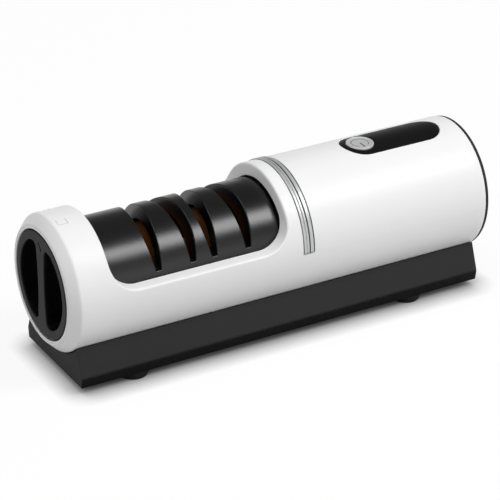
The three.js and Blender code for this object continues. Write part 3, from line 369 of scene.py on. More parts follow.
def window_sheet(x0, x1, turns, count):
    """Skin round the window's hole, its small lip, its upright wall and the inside of the skin."""
    half = WINDOW_HALF + BAND_GAP
    loop = rounded_runs(
        WINDOW[0] - BAND_GAP, WINDOW[1] + BAND_GAP, half, half,
        lambda v: np.arcsin(v / BARREL), (len(turns), count, len(turns), count),
    )
    out = outward(loop)
    border = frame_loop(x0, x1, BARREL * turns, count)
    rows = lipped(border, loop, out, WINDOW_LIP, 9, 5)
    inside_turn = np.arcsin(BARREL * np.sin(loop[:, 1] / BARREL) / SHELL_INSIDE)
    rows.append(tube(loop[:, 0], inside_turn, SHELL_INSIDE)[None])
    border[:, 1] /= BARREL
    rows.append(inside_rows(border, np.c_[loop[:, 0], inside_turn], SHELL_INSIDE, 6))
    return np.concatenate(rows), True


def barrel_shell():
    """White tube: collar and bore at the dial's end, opening over the guide, seat for the band, hole for the
    window, thin over the motor. Collar and tube are profiles turned round the axis."""
    along = np.linspace(SKIN_START, BAND[0] - BAND_GAP, SKIN_COUNT)
    under = tube(along[:, None], LOWER_TURNS[None], BARREL)
    under_inside = tube(np.maximum(along, COLLAR_BACK)[:, None], LOWER_TURNS[None], SHELL_INSIDE)
    collar = soften(
        [(SKIN_START, BARREL), (-115.2, BARREL), (FACE, 30.2), (-119.7, 30.1), (-119.7, 29.4),
         (FACE, 29.2), (FACE, BORE), (COLLAR_BACK, BORE), (COLLAR_BACK, SHELL_INSIDE)],
        [0.9, 0.4, 0.2, 0.2, 0.3, 0.3, 0.2],
    )
    collar = tube(collar[:, :1], ROUND_TURNS[None], collar[:, 1:])
    block, rim, soft = WINDOW_BLOCK, 0.4, 0.12
    seat = (BAND[0] - BAND_GAP, BAND[1] + BAND_GAP)
    x = np.r_[seat[0], seat[0], seat[1], seat[1], np.linspace(seat[1], block[0], 12)[1:-1], block,
              SHELL_END - rim, SHELL_END - soft, SHELL_END]
    radius = np.full((len(x), len(ROUND_TURNS)), BARREL)
    radius[1:3, np.abs(ROUND_TURNS) < np.radians(BAND_HALF_TURN)] = BAND_SEAT
    radius[-2], radius[-1] = BARREL - soft, BARREL - rim
    middle = len(UPPER_TURNS) // 2
    first = len(x) - 3 - len(block)
    keep = np.ones((len(x) - 1, len(ROUND_TURNS)), bool)
    keep[first:first + len(block) - 1, middle - BLOCK_HALF:middle + BLOCK_HALF] = False
    tail = tube(x[:, None], ROUND_TURNS[None], radius)
    tail_inside = tube(x[:, None], ROUND_TURNS[None], SHELL_INSIDE)
    end = np.stack([tail[-1], tail_inside[-1]])  # the ring that closes the tube at its right
    over_window = UPPER_TURNS[middle - BLOCK_HALF:middle + BLOCK_HALF + 1]
    window = window_sheet(block[0], block[-1], over_window, len(block))
    return weld("barrel_shell_skin", [
        opening_sheet(), (under, False), (under_inside, False), (collar, True),
        (tail, True, keep), (tail_inside, True, keep), (end, True), window,
    ])


def slot_walls(slot, height, far, grow):
    """Places of a knife slot's two walls at a height over the axis and a distance to the far side. The walls
    lean away from the slot's floor, and the slot nears the middle of its stage towards the far side."""
    stage, side = slot
    rise = (height - (SLOT_FLOOR - grow)) / (GUIDE - SLOT_FLOOR)
    inner = SLOT_OFFSET - SLOT_HALF - grow - SLOT_INNER_RUN * rise - SLOT_SKEW * far
    outer = SLOT_OFFSET + SLOT_HALF + grow + SLOT_OUTER_RUN * rise - SLOT_SKEW * far
    pair = (stage + side * inner, stage + side * outer)
    return pair if side > 0 else pair[::-1]


def slot_loop(slot, radius, grow=0.0, wide=0.0):
    """A knife slot where it meets a cylinder of the given radius: over the top along one wall, along the
    floor, back along the other wall and along the floor again, as place and turn."""
    count = FLOOR_COUNT
    end = np.arccos((SLOT_FLOOR - grow) / radius)
    turns = np.linspace(-end, end, len(GUIDE_TURNS))
    left, right = slot_walls(slot, radius * np.cos(turns), -radius * np.sin(turns), grow)
    left, right = left - wide, right + wide
    turns = turns * (1 + wide / (radius * end))
    return closed([
        np.c_[left, turns],
        np.c_[np.linspace(left[-1], right[-1], count), np.full(count, turns[-1])],
        np.c_[right[::-1], turns[::-1]],
        np.c_[np.linspace(right[0], left[0], count), np.full(count, turns[0])],
    ])


GUIDE_TURNS = np.arccos(0.15 / GUIDE) * np.linspace(-1, 1, 81)


def slot_sheet(slot, x0, x1):
    """Skin round a slot's mouth, its lip and walls down to the room of the wheels, the walls' backs up to the
    inside of the guide, and that inside."""
    border = frame_loop(x0, x1, GUIDE_TURNS, FLOOR_COUNT)
    skin = spread(border, slot_loop(slot, GUIDE, 0.0, SLOT_LIP), 12, 1.4)
    rows = [tube(skin[..., 0], skin[..., 1], GUIDE)]
    inner = GUIDE - GUIDE_WALL
    steps = [(GUIDE - deep, 0.0, far) for far, deep in lip_steps(SLOT_LIP, 5)[1:]]
    steps += [(radius, 0.0, 0.0) for radius in np.linspace(GUIDE - SLOT_LIP, WHEEL_ROOM, 11)[1:]]
    steps += [(radius, SLOT_WALL, 0.0) for radius in np.linspace(WHEEL_ROOM, inner, 5)]
    for radius, grow, wide in steps:
        loop = slot_loop(slot, radius, grow, wide)
        rows.append(tube(loop[:, 0], loop[:, 1], radius)[None])
    rows.append(inside_rows(border, slot_loop(slot, inner, SLOT_WALL), inner, 8, 1.4)[1:])
    return np.concatenate(rows), True


def wheel(name, stage, side):
    """Grinding wheel: a flat back, a short rim and a cone that rises to the hub, turned round the axis."""
    profile = soften(
        [(0.6, WHEEL_BORE), (0.6, WHEEL - 0.5), (1.1, WHEEL), (2.6, WHEEL), (8.4, 8.5), (8.4, WHEEL_BORE),
         (0.6, WHEEL_BORE)],
        [0.2, 0.2, 0.35, 0.6, 0.2])
    profile[:, 0] = stage + side * profile[:, 0]
    return revolve(name, profile, (0.0, AXIS), 128)


def guide_cover():
    """Slotted guide: the upper half of a tube with a rounded end and four troughs for a blade."""
    breaks = [GUIDE_SPAN[0], STAGES[0], sum(STAGES) / 2, STAGES[1], GUIDE_SPAN[1] - GUIDE_ROUND]
    slots = [(stage, side) for stage in STAGES for side in (-1, 1)]
    inner = GUIDE - GUIDE_WALL
    sheets = []
    for slot, x0, x1 in zip(slots, breaks, breaks[1:]):
        sheets.append(slot_sheet(slot, x0, x1))
        along = np.linspace(x0, x1, FLOOR_COUNT)[:, None]
        for end in GUIDE_TURNS[[0, -1]]:
            sheets.append((tube(along, end, np.array([[GUIDE, inner]])), False))
    sheets.append((tube(GUIDE_SPAN[0], GUIDE_TURNS[None], np.array([[GUIDE], [inner]])), False))
    a = np.radians(np.linspace(0, 90, 12))

    def end_line(sunk):
        """Line down the rounded end to the bore, sunk below the skin."""
        x, corner = GUIDE_SPAN[1] - sunk, GUIDE_ROUND - sunk
        rounding = np.c_[x - corner * (1 - np.sin(a)), GUIDE - sunk - corner * (1 - np.cos(a))]
        return np.r_[rounding, [[x, GUIDE_BORE]]]

    outside, inside = end_line(0.0), end_line(GUIDE_WALL)
    inside[0, 0] = outside[0, 0]
    for line in (outside, inside):
        sheets.append((tube(line[:, :1], GUIDE_TURNS[None], line[:, 1:]), False))
    pair = np.stack([outside, inside])
    for end in GUIDE_TURNS[[0, -1]]:
        sheets.append((tube(pair[..., 0], end, pair[..., 1]), False))
    bore = pair[:, -1]
    sheets.append((tube(bore[:, :1], GUIDE_TURNS[None], bore[:, 1:]), False))
    cover = weld("guide_cover_skin", sheets, 30)
    # Painted reflection of the brown wheels, laid in brown over the slots' outer walls
    paint_wheel_reflection(cover.data)
    return cover


def places_of(mesh):
    """The three coordinates of all vertices, in millimetres."""
    place = np.empty(len(mesh.vertices) * 3)
    mesh.vertices.foreach_get("co", place)
    return place.reshape(-1, 3).T / MM


def write_painted_light(mesh, amount):
    """Attribute that a finish reads as how far the colour of painted shade or painted reflection covers the
    first.
    """
    mesh.attributes.new("painted_light", "FLOAT", "POINT").data.foreach_set("value", amount)


def paint_wheel_reflection(mesh):
    """Painted reflection of the brown wheels on a slot's outer wall: 1 at the room of the wheels, 0 from the
    reach of the glow outwards."""
    x, y, z = places_of(mesh)
    height = z - AXIS
    away = np.abs(x[:, None] - np.array(STAGES)).min(1) + SLOT_SKEW * y
    wall = SLOT_OFFSET + SLOT_HALF + SLOT_OUTER_RUN * (height - SLOT_FLOOR) / (GUIDE - SLOT_FLOOR)
    deep = np.clip((WHEEL_GLOW_REACH - np.hypot(y, height)) / (WHEEL_GLOW_REACH - WHEEL_ROOM), 0, 1)
    write_painted_light(mesh, np.where(away > wall - WHEEL_GLOW_EDGE, deep, 0.0))


def scoop_mouth(side, counts):
    """Mouth of a finger hollow as two runs: round on the dial's side, and along the grip, which is a little
    wider at its ends. They meet at the hollow's two tips."""
    a = np.linspace(0, np.pi / 2, 24)
    tip = np.arcsin(SCOOP_HALF / SCOOP)
    arc = np.linspace(0, tip - 0.06, 60)
    corner_out = SCOOP * np.c_[np.cos(arc), np.sin(arc)]
    grip_end = GRIP_HALF + 1
    straight = SCOOP_HALF - SCOOP_TIP
    grip = np.c_[[GRIP_HALF, 3.5, 3.75, 4.1, grip_end], [0, 5, 10, 14, straight]]
    corner = np.c_[grip_end + SCOOP_TIP * (1 - np.cos(a)), straight + SCOOP_TIP * np.sin(a)]
    half = resample(np.r_[grip, corner, corner_out[::-1]], 400)
    split = int(np.argmin(np.hypot(*(half - corner[16]).T)))
    grip_run, round_run = half[:split + 1], half[split:]
    mirrored = [run * (1, -1) for run in (round_run, grip_run)]
    outer = resample(np.r_[round_run, mirrored[0][::-1][1:]], counts[0])
    inner = resample(np.r_[mirrored[1][::-1], grip_run[1:]], counts[1])
    return closed([outer, inner]) * (side, 1)


def dial():
    """Dial: a disc with a rounded edge, two finger hollows that narrow with depth along a quarter round, a
    grip bar between them, and a short slit as its pointer."""
    count, bar = 65, 33
    flat = DIAL - DIAL_EDGE
    half = np.linspace(np.pi / 2, -np.pi / 2, count)
    middle = (GRIP_HALF + SCOOP) / 2
    sheets = []
    for side in (-1, 1):
        mouth = scoop_mouth(side, (count, bar))
        border = closed([
            flat * np.c_[np.cos(half), np.sin(half)],
            np.c_[np.zeros(bar), np.linspace(-flat, flat, bar)],
        ]) * (side, 1)
        out = outward(mouth) * side
        face = spread(border, mouth + out * SCOOP_LIP, 8, 1.2)
        rows = [spot(FACE, face[..., 0], face[..., 1])]
        for far, deep in lip_steps(SCOOP_LIP, 6)[1:]:
            place = mouth + out * far
            rows.append(spot(FACE + deep, place[:, 0], place[:, 1])[None])
        for a in np.radians(np.linspace(0, 90, 15))[1:]:
            drawn = SCOOP_DRAW * (1 - np.cos(a))
            y = side * middle + (mouth[:, 0] - side * middle) * (1 - drawn / (SCOOP - middle))
            deep = SCOOP_LIP + (SCOOP_DEPTH - SCOOP_LIP) * np.sin(a)
            rows.append(spot(FACE + deep, y, mouth[:, 1] * (1 - drawn / SCOOP_HALF))[None])
        floor = rows[-1][0]
        centre = np.array([floor[0, 0], side * middle, AXIS])
        for share in (0.66, 0.33, 0.0):
            rows.append((centre + (floor - centre) * share)[None])
        sheets.append((np.concatenate(rows), True))
    turn = np.r_[half, half[1:-1] + np.pi]
    edge = soften([(FACE, flat - 0.01), (FACE, DIAL), (DIAL_BACK, DIAL), (DIAL_BACK, 0)], [DIAL_EDGE, 0.4], 7)
    edge[0] = edge[1] = (FACE, flat)
    y, z = np.cos(turn)[None], np.sin(turn)[None]
    sheets.append((spot(edge[:, :1], edge[:, 1:] * y, edge[:, 1:] * z), True))
    knob = weld("dial_face", sheets, 40)
    top, low = np.array([-1.5, 22.7]), np.array([1.7, 18.9])  # the slit's two ends
    lean = (low - top) / np.linalg.norm(low - top)
    cross = np.array([-lean[1], lean[0]])
    a = np.linspace(0, 2 * np.pi, 24, endpoint=False)
    centre = (top + low) / 2
    reach = np.linalg.norm(low - top) / 2 - SLIT_HALF
    ends = centre + np.sign(np.cos(a))[:, None] * lean * reach + SLIT_HALF * (
        np.cos(a)[:, None] * lean + np.sin(a)[:, None] * cross)
    slit = spot(np.array([[FACE - 1], [FACE + SLIT_DEPTH]]), -ends[:, 0], ends[:, 1])
    caps = np.stack([slit, np.broadcast_to(slit.mean(1, keepdims=True), slit.shape)], 1)
    tool = weld("slit", [(slit, True), (caps[0], True), (caps[1], True)])
    knob = carve(knob, [tool], 40)
    place, far, _ = places_of(knob.data)
    deep = place - FACE
    # Painted shade: the slit, and the finger hollows with their depth, turn black
    slit_shade = (np.abs(far) < 2.8) & (deep > 0.3)
    scoop_shade = (np.abs(far) >= 2.8) * np.clip((deep - 0.15) / 0.5, 0, 1)
    write_painted_light(knob.data, slit_shade + scoop_shade)
    return knob


def chrome_band():
    """Band over the upper half of the barrel: a fine groove, a deep groove, then one broad rib and a low
    edge, the same section carried over the top from one side to the other."""
    top = BARREL + BAND_PROUD
    width = BAND[1] - BAND[0]
    low = BAND_SEAT + 0.3
    section = soften(
        [(0.0, low), (0.0, top - 0.15), (0.3, top), (1.3, top - 0.02), (1.6, top - 0.3), (1.9, top - 0.02),
         (2.9, top), (3.0, top - 0.8), (3.5, top - 0.8), (3.6, top), (width - 0.65, top - 0.02),
         (width - 0.6, top - 0.5), (width, top - 0.5), (width, low), (0.0, low)],
        [0.1, 0.15, 0.15, 0.12, 0.15, 0.15, 0.1, 0.1, 0.15, 0.04, 0.04, 0.1, 0.1])[:-1]
    turns = np.radians(np.linspace(-90, 90, 121))
    body = tube(BAND[0] + section[None, :, 0], turns[:, None], section[None, :, 1])
    band = weld("chrome_band_ribs", [(body, True)], 50, body[[0, -1]])
    _, far, high = places_of(band.data)
    # Painted shade in the grooves, and painted shadow of the gap towards the band's low ends
    sunk = np.clip((top - 0.12 - np.hypot(far, high - AXIS)) / 0.25, 0, 1)
    write_painted_light(band.data, np.maximum(sunk, np.clip(0.7 - (high - AXIS) / 1.2, 0, 1)))
    return band


def window_plate():
    """Curved oblong plate level with the skin, with a round hole for the button: rows that step from the
    plate's outline to the hole."""
    loop = rounded_runs(*WINDOW, WINDOW_HALF, WINDOW_HALF, lambda v: v / BARREL, (17, 41, 17, 41))
    edge = outward(loop)
    hole_radius = BUTTON + BUTTON_GAP
    away = loop - (BUTTON_PLACE, 0)
    turn = np.unwrap(np.arctan2(away[:, 1], away[:, 0]))
    even = np.linspace(turn[0], turn[-1], len(turn))
    turn = 0.55 * turn + 0.45 * even
    hole_out = np.stack([np.cos(turn), np.sin(turn)], -1)
    hole = (BUTTON_PLACE, 0) + hole_radius * hole_out

    def on_plate(place, radius):
        return spot(place[..., 0], -place[..., 1], np.sqrt(radius ** 2 - place[..., 1] ** 2))

    lip = PLATE_LIP
    low = WINDOW_TOP - PLATE_THICK
    rows = [on_plate(loop, low)[None]]
    for far, deep in lip_steps(lip, 5)[::-1]:
        rows.append(on_plate(loop - edge * far, WINDOW_TOP - deep)[None])
    rows.append(on_plate(spread(loop - edge * lip, hole + hole_out * lip, 16, 1.0), WINDOW_TOP))
    for far, deep in lip_steps(lip, 5):
        rows.append(on_plate(hole + hole_out * far, WINDOW_TOP - deep)[None])
    rows.append(on_plate(spread(hole, loop, 16, 1.0), low))
    return weld("window_plate", [(np.concatenate(rows), True)], 40)


def power_button():
    """Button: a flat face a little below a rounded rim, on a straight skirt."""
    face = BUTTON_TOP - BUTTON_SINK
    profile = soften(
        [(face, 0.0), (face, BUTTON - BUTTON_RIM - 0.3), (BUTTON_TOP, BUTTON - BUTTON_RIM),
         (BUTTON_TOP, BUTTON - 0.3), (BUTTON_TOP - 0.4, BUTTON), (BUTTON_FOOT, BUTTON), (BUTTON_FOOT, 0.0)],
        [0.15, 0.2, 0.25, 0.3, 0.3], 6)
    profile[:, 0] += AXIS
    return revolve("power_button_cap", profile, (BUTTON_PLACE, 0.0), 96, 50, True)


def ribbon(name, line, half, height, base):
    """Raised line: an arched section, half wide to each side and height high, carried along a line of x and
    y. A function gives the height of the surface below it for each y."""
    along = np.r_[line[1:], line[-1:]] - np.r_[line[:1], line[:-1]]
    along /= np.linalg.norm(along, axis=1, keepdims=True)
    side = np.stack([-along[:, 1], along[:, 0]], -1)
    across = np.array([-1, -0.85, -0.45, 0, 0.45, 0.85, 1])
    lift = height * np.array([-0.6, 0.55, 0.95, 1, 0.95, 0.55, -0.6])
    place = line[:, None] + side[:, None] * across[None, :, None] * half
    top = np.dstack([place, base(place[..., 1]) + lift])
    sheets = [(np.concatenate([top, top[:, :1]], 1), False)]
    for end in (top[0], top[-1]):
        sheets.append((np.stack([end, np.broadcast_to(end.mean(0), end.shape)]), False))
        sheets.append((np.stack([end[[0, -1]], np.broadcast_to(end.mean(0), (2, 3))]), False))
    return weld(name, sheets, 60)


def power_symbol():
    """The generic power sign on the button: an open ring with a bar in its gap."""
    def face(y):
        return np.full(y.shape, AXIS + BUTTON_TOP - BUTTON_SINK)

    a = np.radians(np.linspace(-55, 235, 60))
    ring = np.c_[BUTTON_PLACE + SIGN_RADIUS * np.cos(a), SIGN_RADIUS * np.sin(a)]
    bar = np.c_[np.full(12, BUTTON_PLACE), np.linspace(*SIGN_BAR, 12)]
    return [
        ribbon("power_sign_ring", ring, 0.3, SIGN_LIFT, face),
        ribbon("power_sign_bar", bar, 0.36, SIGN_LIFT, face),
    ]


def collar_mark(name, x0, x1, turn0, turn1):
    """Raised mark on the collar: three sides of a rectangle, as a thin line carried over the skin."""
    def skin(y):
        return AXIS + np.sqrt(BARREL ** 2 - y ** 2)

    y = -BARREL * np.sin(np.radians(np.linspace(turn0, turn1, 9)))
    left, right = np.c_[np.full(9, x0), y], np.c_[np.full(9, x1), y][::-1]
    across = np.c_[np.linspace(x0, x1, 9), np.full(9, y[-1])]
    return ribbon(name, np.r_[left[:-1], across[:-1], right], 0.2, 0.16, skin)


def base_outline():
    """Section of the base: foot, soft crease, sloping side, rounded shoulder and the round seat of the
    barrel, as y and z from the near foot over to the far one, closed along the bottom."""
    side = soften(
        [(0.0, BASE_LOW), (BASE_HALF, BASE_LOW), BASE_CREASE, BASE_SHOULDER,
         (24.6, -25.31), (23.9, -26.0)],
        [0.3, 1.2, 0.25, 0.3], 7)[1:-1]
    end = math.atan2(side[-1, 0], -side[-1, 1])
    turn = np.linspace(end, -end, 61)[1:-1]
    seat = np.c_[CRADLE * np.sin(turn), -CRADLE * np.cos(turn)]
    return np.r_[side, seat, (side * (-1, 1))[::-1]]


def section_solid(name, loop, x0, x1, corner):
    """Solid with one section carried along the barrel. At both ends the section is drawn in along a
    quarter round: inset corner (1 - cos a) at a distance corner (1 - sin a) from the end."""
    rounding = lip_steps(corner, 6)
    places = [(x0 + far, deep) for far, deep in rounding[::-1]]
    places += [(x1 - far, deep) for far, deep in rounding]
    rows = []
    for x, inset in places:
        line = loop + outward(loop) * inset
        rows.append(spot(x, -line[:, 0], line[:, 1]))
    return weld(name, [(np.stack(rows), True)], 40, (rows[0], rows[-1]))


def base_housing():
    """Base: its section carried along the barrel with softened ends, hollow from below, with a post for
    each of the plate's screws."""
    x0, x1 = BASE_SPAN
    wall = BASE_WALL
    body = section_solid("base_body", base_outline(), x0, x1, BASE_END_ROUND)
    cradle = CRADLE + 2.4  # the room's round stays this far below the barrel's seat
    seat = np.arcsin(0.55)
    turn = np.linspace(seat, -seat, 41)
    side = np.array([
        (BASE_HALF - wall, BASE_LOW - 2.0), (BASE_HALF - wall, -37.8), (BASE_SHOULDER[0] - wall, -27.6)])
    loop = np.r_[side, np.c_[cradle * np.sin(turn), -cradle * np.cos(turn)], (side * (-1, 1))[::-1]]
    room = section_solid("base_room", loop, x0 + wall, x1 - wall, BASE_END_ROUND)
    posts = []
    for i, (x, y) in enumerate(SCREW_PLACES):
        foot_z, top_z = AXIS + BASE_LOW + 2.3, AXIS - 30.0
        profile = [(foot_z, 0.0), (foot_z, POST), (top_z, POST), (top_z, 0.0)]
        posts.append(revolve(f"post_{i}", profile, (x, y), 32, upright=True))
    base = carve(body, [carve(room, posts)], 40)
    place, far, high = places_of(base.data)
    # Painted shade: the skirt below the crease darkens downwards to near black
    skirt = (np.abs(far) > BASE_HALF - 0.9) & (place > x0 + 0.01) & (place < x1 - 0.01)
    write_painted_light(base.data, np.where(skirt, np.clip((AXIS + BASE_CREASE[1] + 0.9 - high) / 1.6, 0, 1), 0.0))
    return base


def end_cap():
    """End cap: a thin disc with a rounded edge, a ring that plugs into the barrel and a round recess."""
    profile = soften(
        [(118.4, 0.0), (118.4, 29.7), (112.5, 29.7), (112.5, 32.1), (118.4, 32.1), (118.4, 34.85),
         (120.0, 34.7), (120.0, 0.0)],
        [0.2, 0.4, 0.4, 0.2, 0.1, 0.35], 7)
    cap = revolve("end_cap_disc", profile, (0.0, AXIS), 128, 40)
    recess = [(117.9, 0.0), (117.9, 7.0), (119.6, 7.0), (120.6, 7.9), (120.6, 0.0)]
    recess = soften(recess, [0.3, 0.3, 0.1], 5)
    return carve(cap, [revolve("recess", recess, (0.0, AXIS - SOCKET_DROP), 64)], 40)


def foot(name, x, y):
    """Rubber foot: a low round pad, tapered, with a rounded rim and a shallow dish below."""
    profile = soften(
        [(4.6, 0.0), (4.6, 6.7), (3.4, 7.5), (0.0, 7.3), (0.0, 5.0), (0.4, 4.5), (0.4, 0.0)],
        [0.2, 0.4, 0.7, 0.3, 0.3], 6)
    return revolve(name, profile, (x, y), 64, 50, True)


def base_screw(name, x, y):
    """Base screw: a flat head with a cross recess that narrows inwards, on a shank with ridges."""
    ridge = np.arange(6.6, 14.6, 1.0)
    thread = np.stack([np.c_[ridge, np.full(8, 1.25)], np.c_[ridge + 0.5, np.full(8, 1.6)]], 1)
    head = soften([(4.1, 0.0), (4.1, 3.0), (5.4, 3.0), (5.4, 1.25), (6.6, 1.25)], [0.4, 0.15, 0.2])
    profile = np.r_[head, thread.reshape(-1, 2)[1:], [(14.8, 1.3), (15.7, 0.6), (15.7, 0.0)]]
    screw = revolve(name, profile, (x, y), 48, 30, True)
    cross = []
    for z, arm, half in ((3.6, 1.9, 0.42), (5.2, 1.2, 0.3)):
        quarter = np.array([(half, arm), (half, half), (arm, half)])
        turned = quarter[:, ::-1] * (1, -1)
        loop = np.r_[quarter, turned, -quarter, -turned]
        cross.append(np.c_[loop + (x, y), np.full(12, z)])
    tool = weld(name + "_recess", [(np.stack(cross), True)], 30, cross)
    return carve(screw, [tool], 30)


# Looks

SOCKETS = dict.fromkeys(("Colour", "Tint", "Bond", "Grain"), "NodeSocketColor")
SOCKETS |= dict.fromkeys(("Vector", "Line Stretch"), "NodeSocketVector")


def feed(tree, node, values):
    """Gives a node's inputs their values, or links to the sockets that lead into them."""
    for key, value in values.items():
        if isinstance(value, bpy.types.NodeSocket):
            tree.links.new(value, node.inputs[key])
        else:
            node.inputs[key].default_value = value


def add(tree, kind, values, **settings):
    """Shader node of a kind, with settings, and values or links for its inputs."""
    node = tree.nodes.new("ShaderNode" + kind)
    for key, value in settings.items():
        setattr(node, key, value)
    feed(tree, node, values)
    return node


def group(name, inputs, outputs, build):
    """Shader node group with a Vector and other named sockets, filled in by a function that gives what
    goes out."""
    tree = bpy.data.node_groups.new(name, "ShaderNodeTree")
    for way, labels in (("INPUT", ("Vector", *inputs)), ("OUTPUT", outputs)):
        for label in labels:
            tree.interface.new_socket(label, in_out=way, socket_type=SOCKETS.get(label, "NodeSocketFloat"))
    result = tree.nodes.new("NodeGroupOutput")
    feed(tree, result, build(tree, tree.nodes.new("NodeGroupInput").outputs))
    return tree


def maths(tree, operation, *numbers):
    """Result of a calculation with numbers or sockets."""
    return add(tree, "Math", dict(enumerate(numbers)), operation=operation).outputs[0]


def blend(tree, amount, first, second):
    """Colour between two colours."""
    return add(tree, "Mix", {0: amount, 6: first, 7: second}, data_type="RGBA").outputs[2]


def toned(tree, colour, tone):
    """Colour times a number."""
    return add(tree, "VectorMath", {0: colour, "Scale": tone}, operation="SCALE").outputs[0]


def noise(tree, place, scale, detail):
    """Soft noise from 0 to 1."""
    return add(tree, "TexNoise", {"Vector": place, "Scale": scale, "Detail": detail}).outputs[0]


def spread_range(tree, value, start, end, first, last):
    """A value from start to end made one from first to last."""
    return add(tree, "MapRange", {0: value, 1: start, 2: end, 3: first, 4: last}).outputs[0]


def moulded(tree, give):
    """Moulded plastic: slow changes of tone and gloss from the mould and from handling, with fine grain."""
    place, gloss_change = give["Vector"], give["Gloss Change"]
    change = maths(tree, "SUBTRACT", noise(tree, place, 42.0, 4.0), 0.5)
    worn = spread_range(tree, noise(tree, place, 900.0, 1.0), 0.62, 0.74, 0.0, 1.0)
    gloss = maths(tree, "MULTIPLY_ADD", change, gloss_change, give["Roughness"])
    gloss = maths(tree, "MULTIPLY_ADD", worn, maths(tree, "MULTIPLY", gloss_change, 0.35), gloss)
    tone = maths(tree, "MULTIPLY_ADD", change, give["Mottle"], 1.0)
    return {"Colour": toned(tree, give["Colour"], tone), "Roughness": gloss,
            "Height": noise(tree, place, give["Grain Scale"], 2.0)}


def brushed(tree, give):
    """Metal with fine lines along one direction: noise squeezed across the lines, and slow tarnish."""
    place = give["Vector"]
    squeezed = add(tree, "Mapping", {"Vector": place, "Scale": give["Line Stretch"]})
    lines = noise(tree, squeezed.outputs[0], 1.0, 3.0)
    change = maths(tree, "SUBTRACT", noise(tree, place, 90.0, 3.0), 0.5)
    tone = maths(tree, "MULTIPLY_ADD", change, give["Tarnish"], 1.0)
    lined = maths(tree, "SUBTRACT", lines, 0.5)
    gloss = maths(tree, "MULTIPLY_ADD", lined, give["Gloss Change"], give["Roughness"])
    return {"Colour": toned(tree, give["Colour"], tone), "Roughness": gloss, "Height": lines}


def bonded(tree, give):
    """Bonded abrasive: grains as small cells, each with its own tone, in a darker bond."""
    place = give["Vector"]
    cells = add(tree, "TexVoronoi", {"Vector": place, "Scale": give["Grain Scale"]}).outputs
    pale = spread_range(tree, cells["Color"], 0.35, 1.0, 0.0, 1.0)
    tone = maths(tree, "MULTIPLY_ADD", noise(tree, place, 260.0, 5.0), 0.6, 0.7)
    return {"Colour": toned(tree, blend(tree, pale, give["Bond"], give["Grain"]), tone),
            "Height": maths(tree, "SUBTRACT", 1.0, cells["Distance"])}


def painted_light_tint(tree, give):
    """Painted shade and painted reflection over a colour, broken up by noise where it runs out."""
    uneven = maths(tree, "MULTIPLY_ADD", noise(tree, give["Vector"], 900.0, 3.0), 0.8, 0.6)
    cover = add(tree, "Clamp", {0: maths(tree, "MULTIPLY", uneven, give["Amount"])})
    return {"Colour": blend(tree, cover.outputs[0], give["Colour"], give["Tint"])}


def shade(colour):
    """Linear colour from screen values of 0 to 255, or from one such value for a grey."""
    values = np.full(3, colour) / 255
    linear = np.where(values <= 0.04045, values / 12.92, ((values + 0.055) / 1.055) ** 2.4)
    return (*linear.tolist(), 1.0)


# Screen colour, roughness, mottle, gloss change, grain scale, bump, specular level
PLASTICS = {
    "white_shell": ("White Barrel Plastic", 240, 0.4, 0.02, 0.08, 2600, 0.12, 0.3),
    "dial_grey": ("Dial Grey Plastic", 46, 0.55, 0.1, 0.12, 2400, 0.3, 0.1),
    "satin_black": ("Guide Satin Plastic", 8, 0.29, 0.12, 0.05, 2800, 0.12, 0.48),
    "charcoal": ("Base Charcoal Plastic", 49, 0.6, 0.08, 0.1, 2200, 0.35, 0.1),
    "gloss_black": ("Window Black Plastic", 21, 0.36, 0.1, 0.06, 3000, 0.04, 0.06),
    "grey_nylon": ("Bed Grey Nylon", (96, 98, 100), 0.55, 0.1, 0.12, 2400, 0.3, 0.5),
    "rubber": ("Foot Rubber", 22, 0.8, 0.15, 0.15, 2000, 0.5, 0.2),
    "board_green": ("Board Green", (26, 82, 48), 0.35, 0.1, 0.1, 2400, 0.1, 0.5),
    "ferrite": ("Magnet Ferrite", (54, 53, 52), 0.6, 0.15, 0.15, 1800, 0.4, 0.5),
    "sign_grey": ("Sign Grey Print", 128, 0.5, 0.05, 0.05, 2400, 0.05, 0.5),
    "sign_dark": ("Sign Dark Print", (58, 57, 55), 0.5, 0.05, 0.05, 2400, 0.05, 0.5),
    "mark_grey": ("Collar Mark Plastic", 208, 0.42, 0.02, 0.08, 2600, 0.1, 0.3),
}
# Screen colour, roughness, line stretch, tarnish, gloss change, bump, metallic
METALS = {
    "chrome_trim": ("Band Chrome", (196, 197, 198), 0.42, 3 * (300,), 0.05, 0.06, 0.02, 0.5),
    "silver_button": ("Button Silver", (205, 206, 207), 0.4, 3 * (400,), 0.06, 0.08, 0.05, 0.3),
    "steel": ("Steel", (186, 187, 190), 0.3, (3000, 300, 300), 0.12, 0.15, 0.1, 1.0),
    "zinc": ("Zinc Coating", (164, 168, 174), 0.4, 3 * (900,), 0.2, 0.2, 0.1, 1.0),
    "copper": ("Copper Winding", (190, 112, 70), 0.34, (6000, 500, 500), 0.2, 0.15, 0.3, 1.0),
}
# Screen colours of the painted shade and painted reflection that a piece's attribute lays over its finish
PAINTED_LIGHT_COLOURS = {"dial_grey": 0, "satin_black": (54, 26, 7), "charcoal": 3, "chrome_trim": (70, 70, 72)}


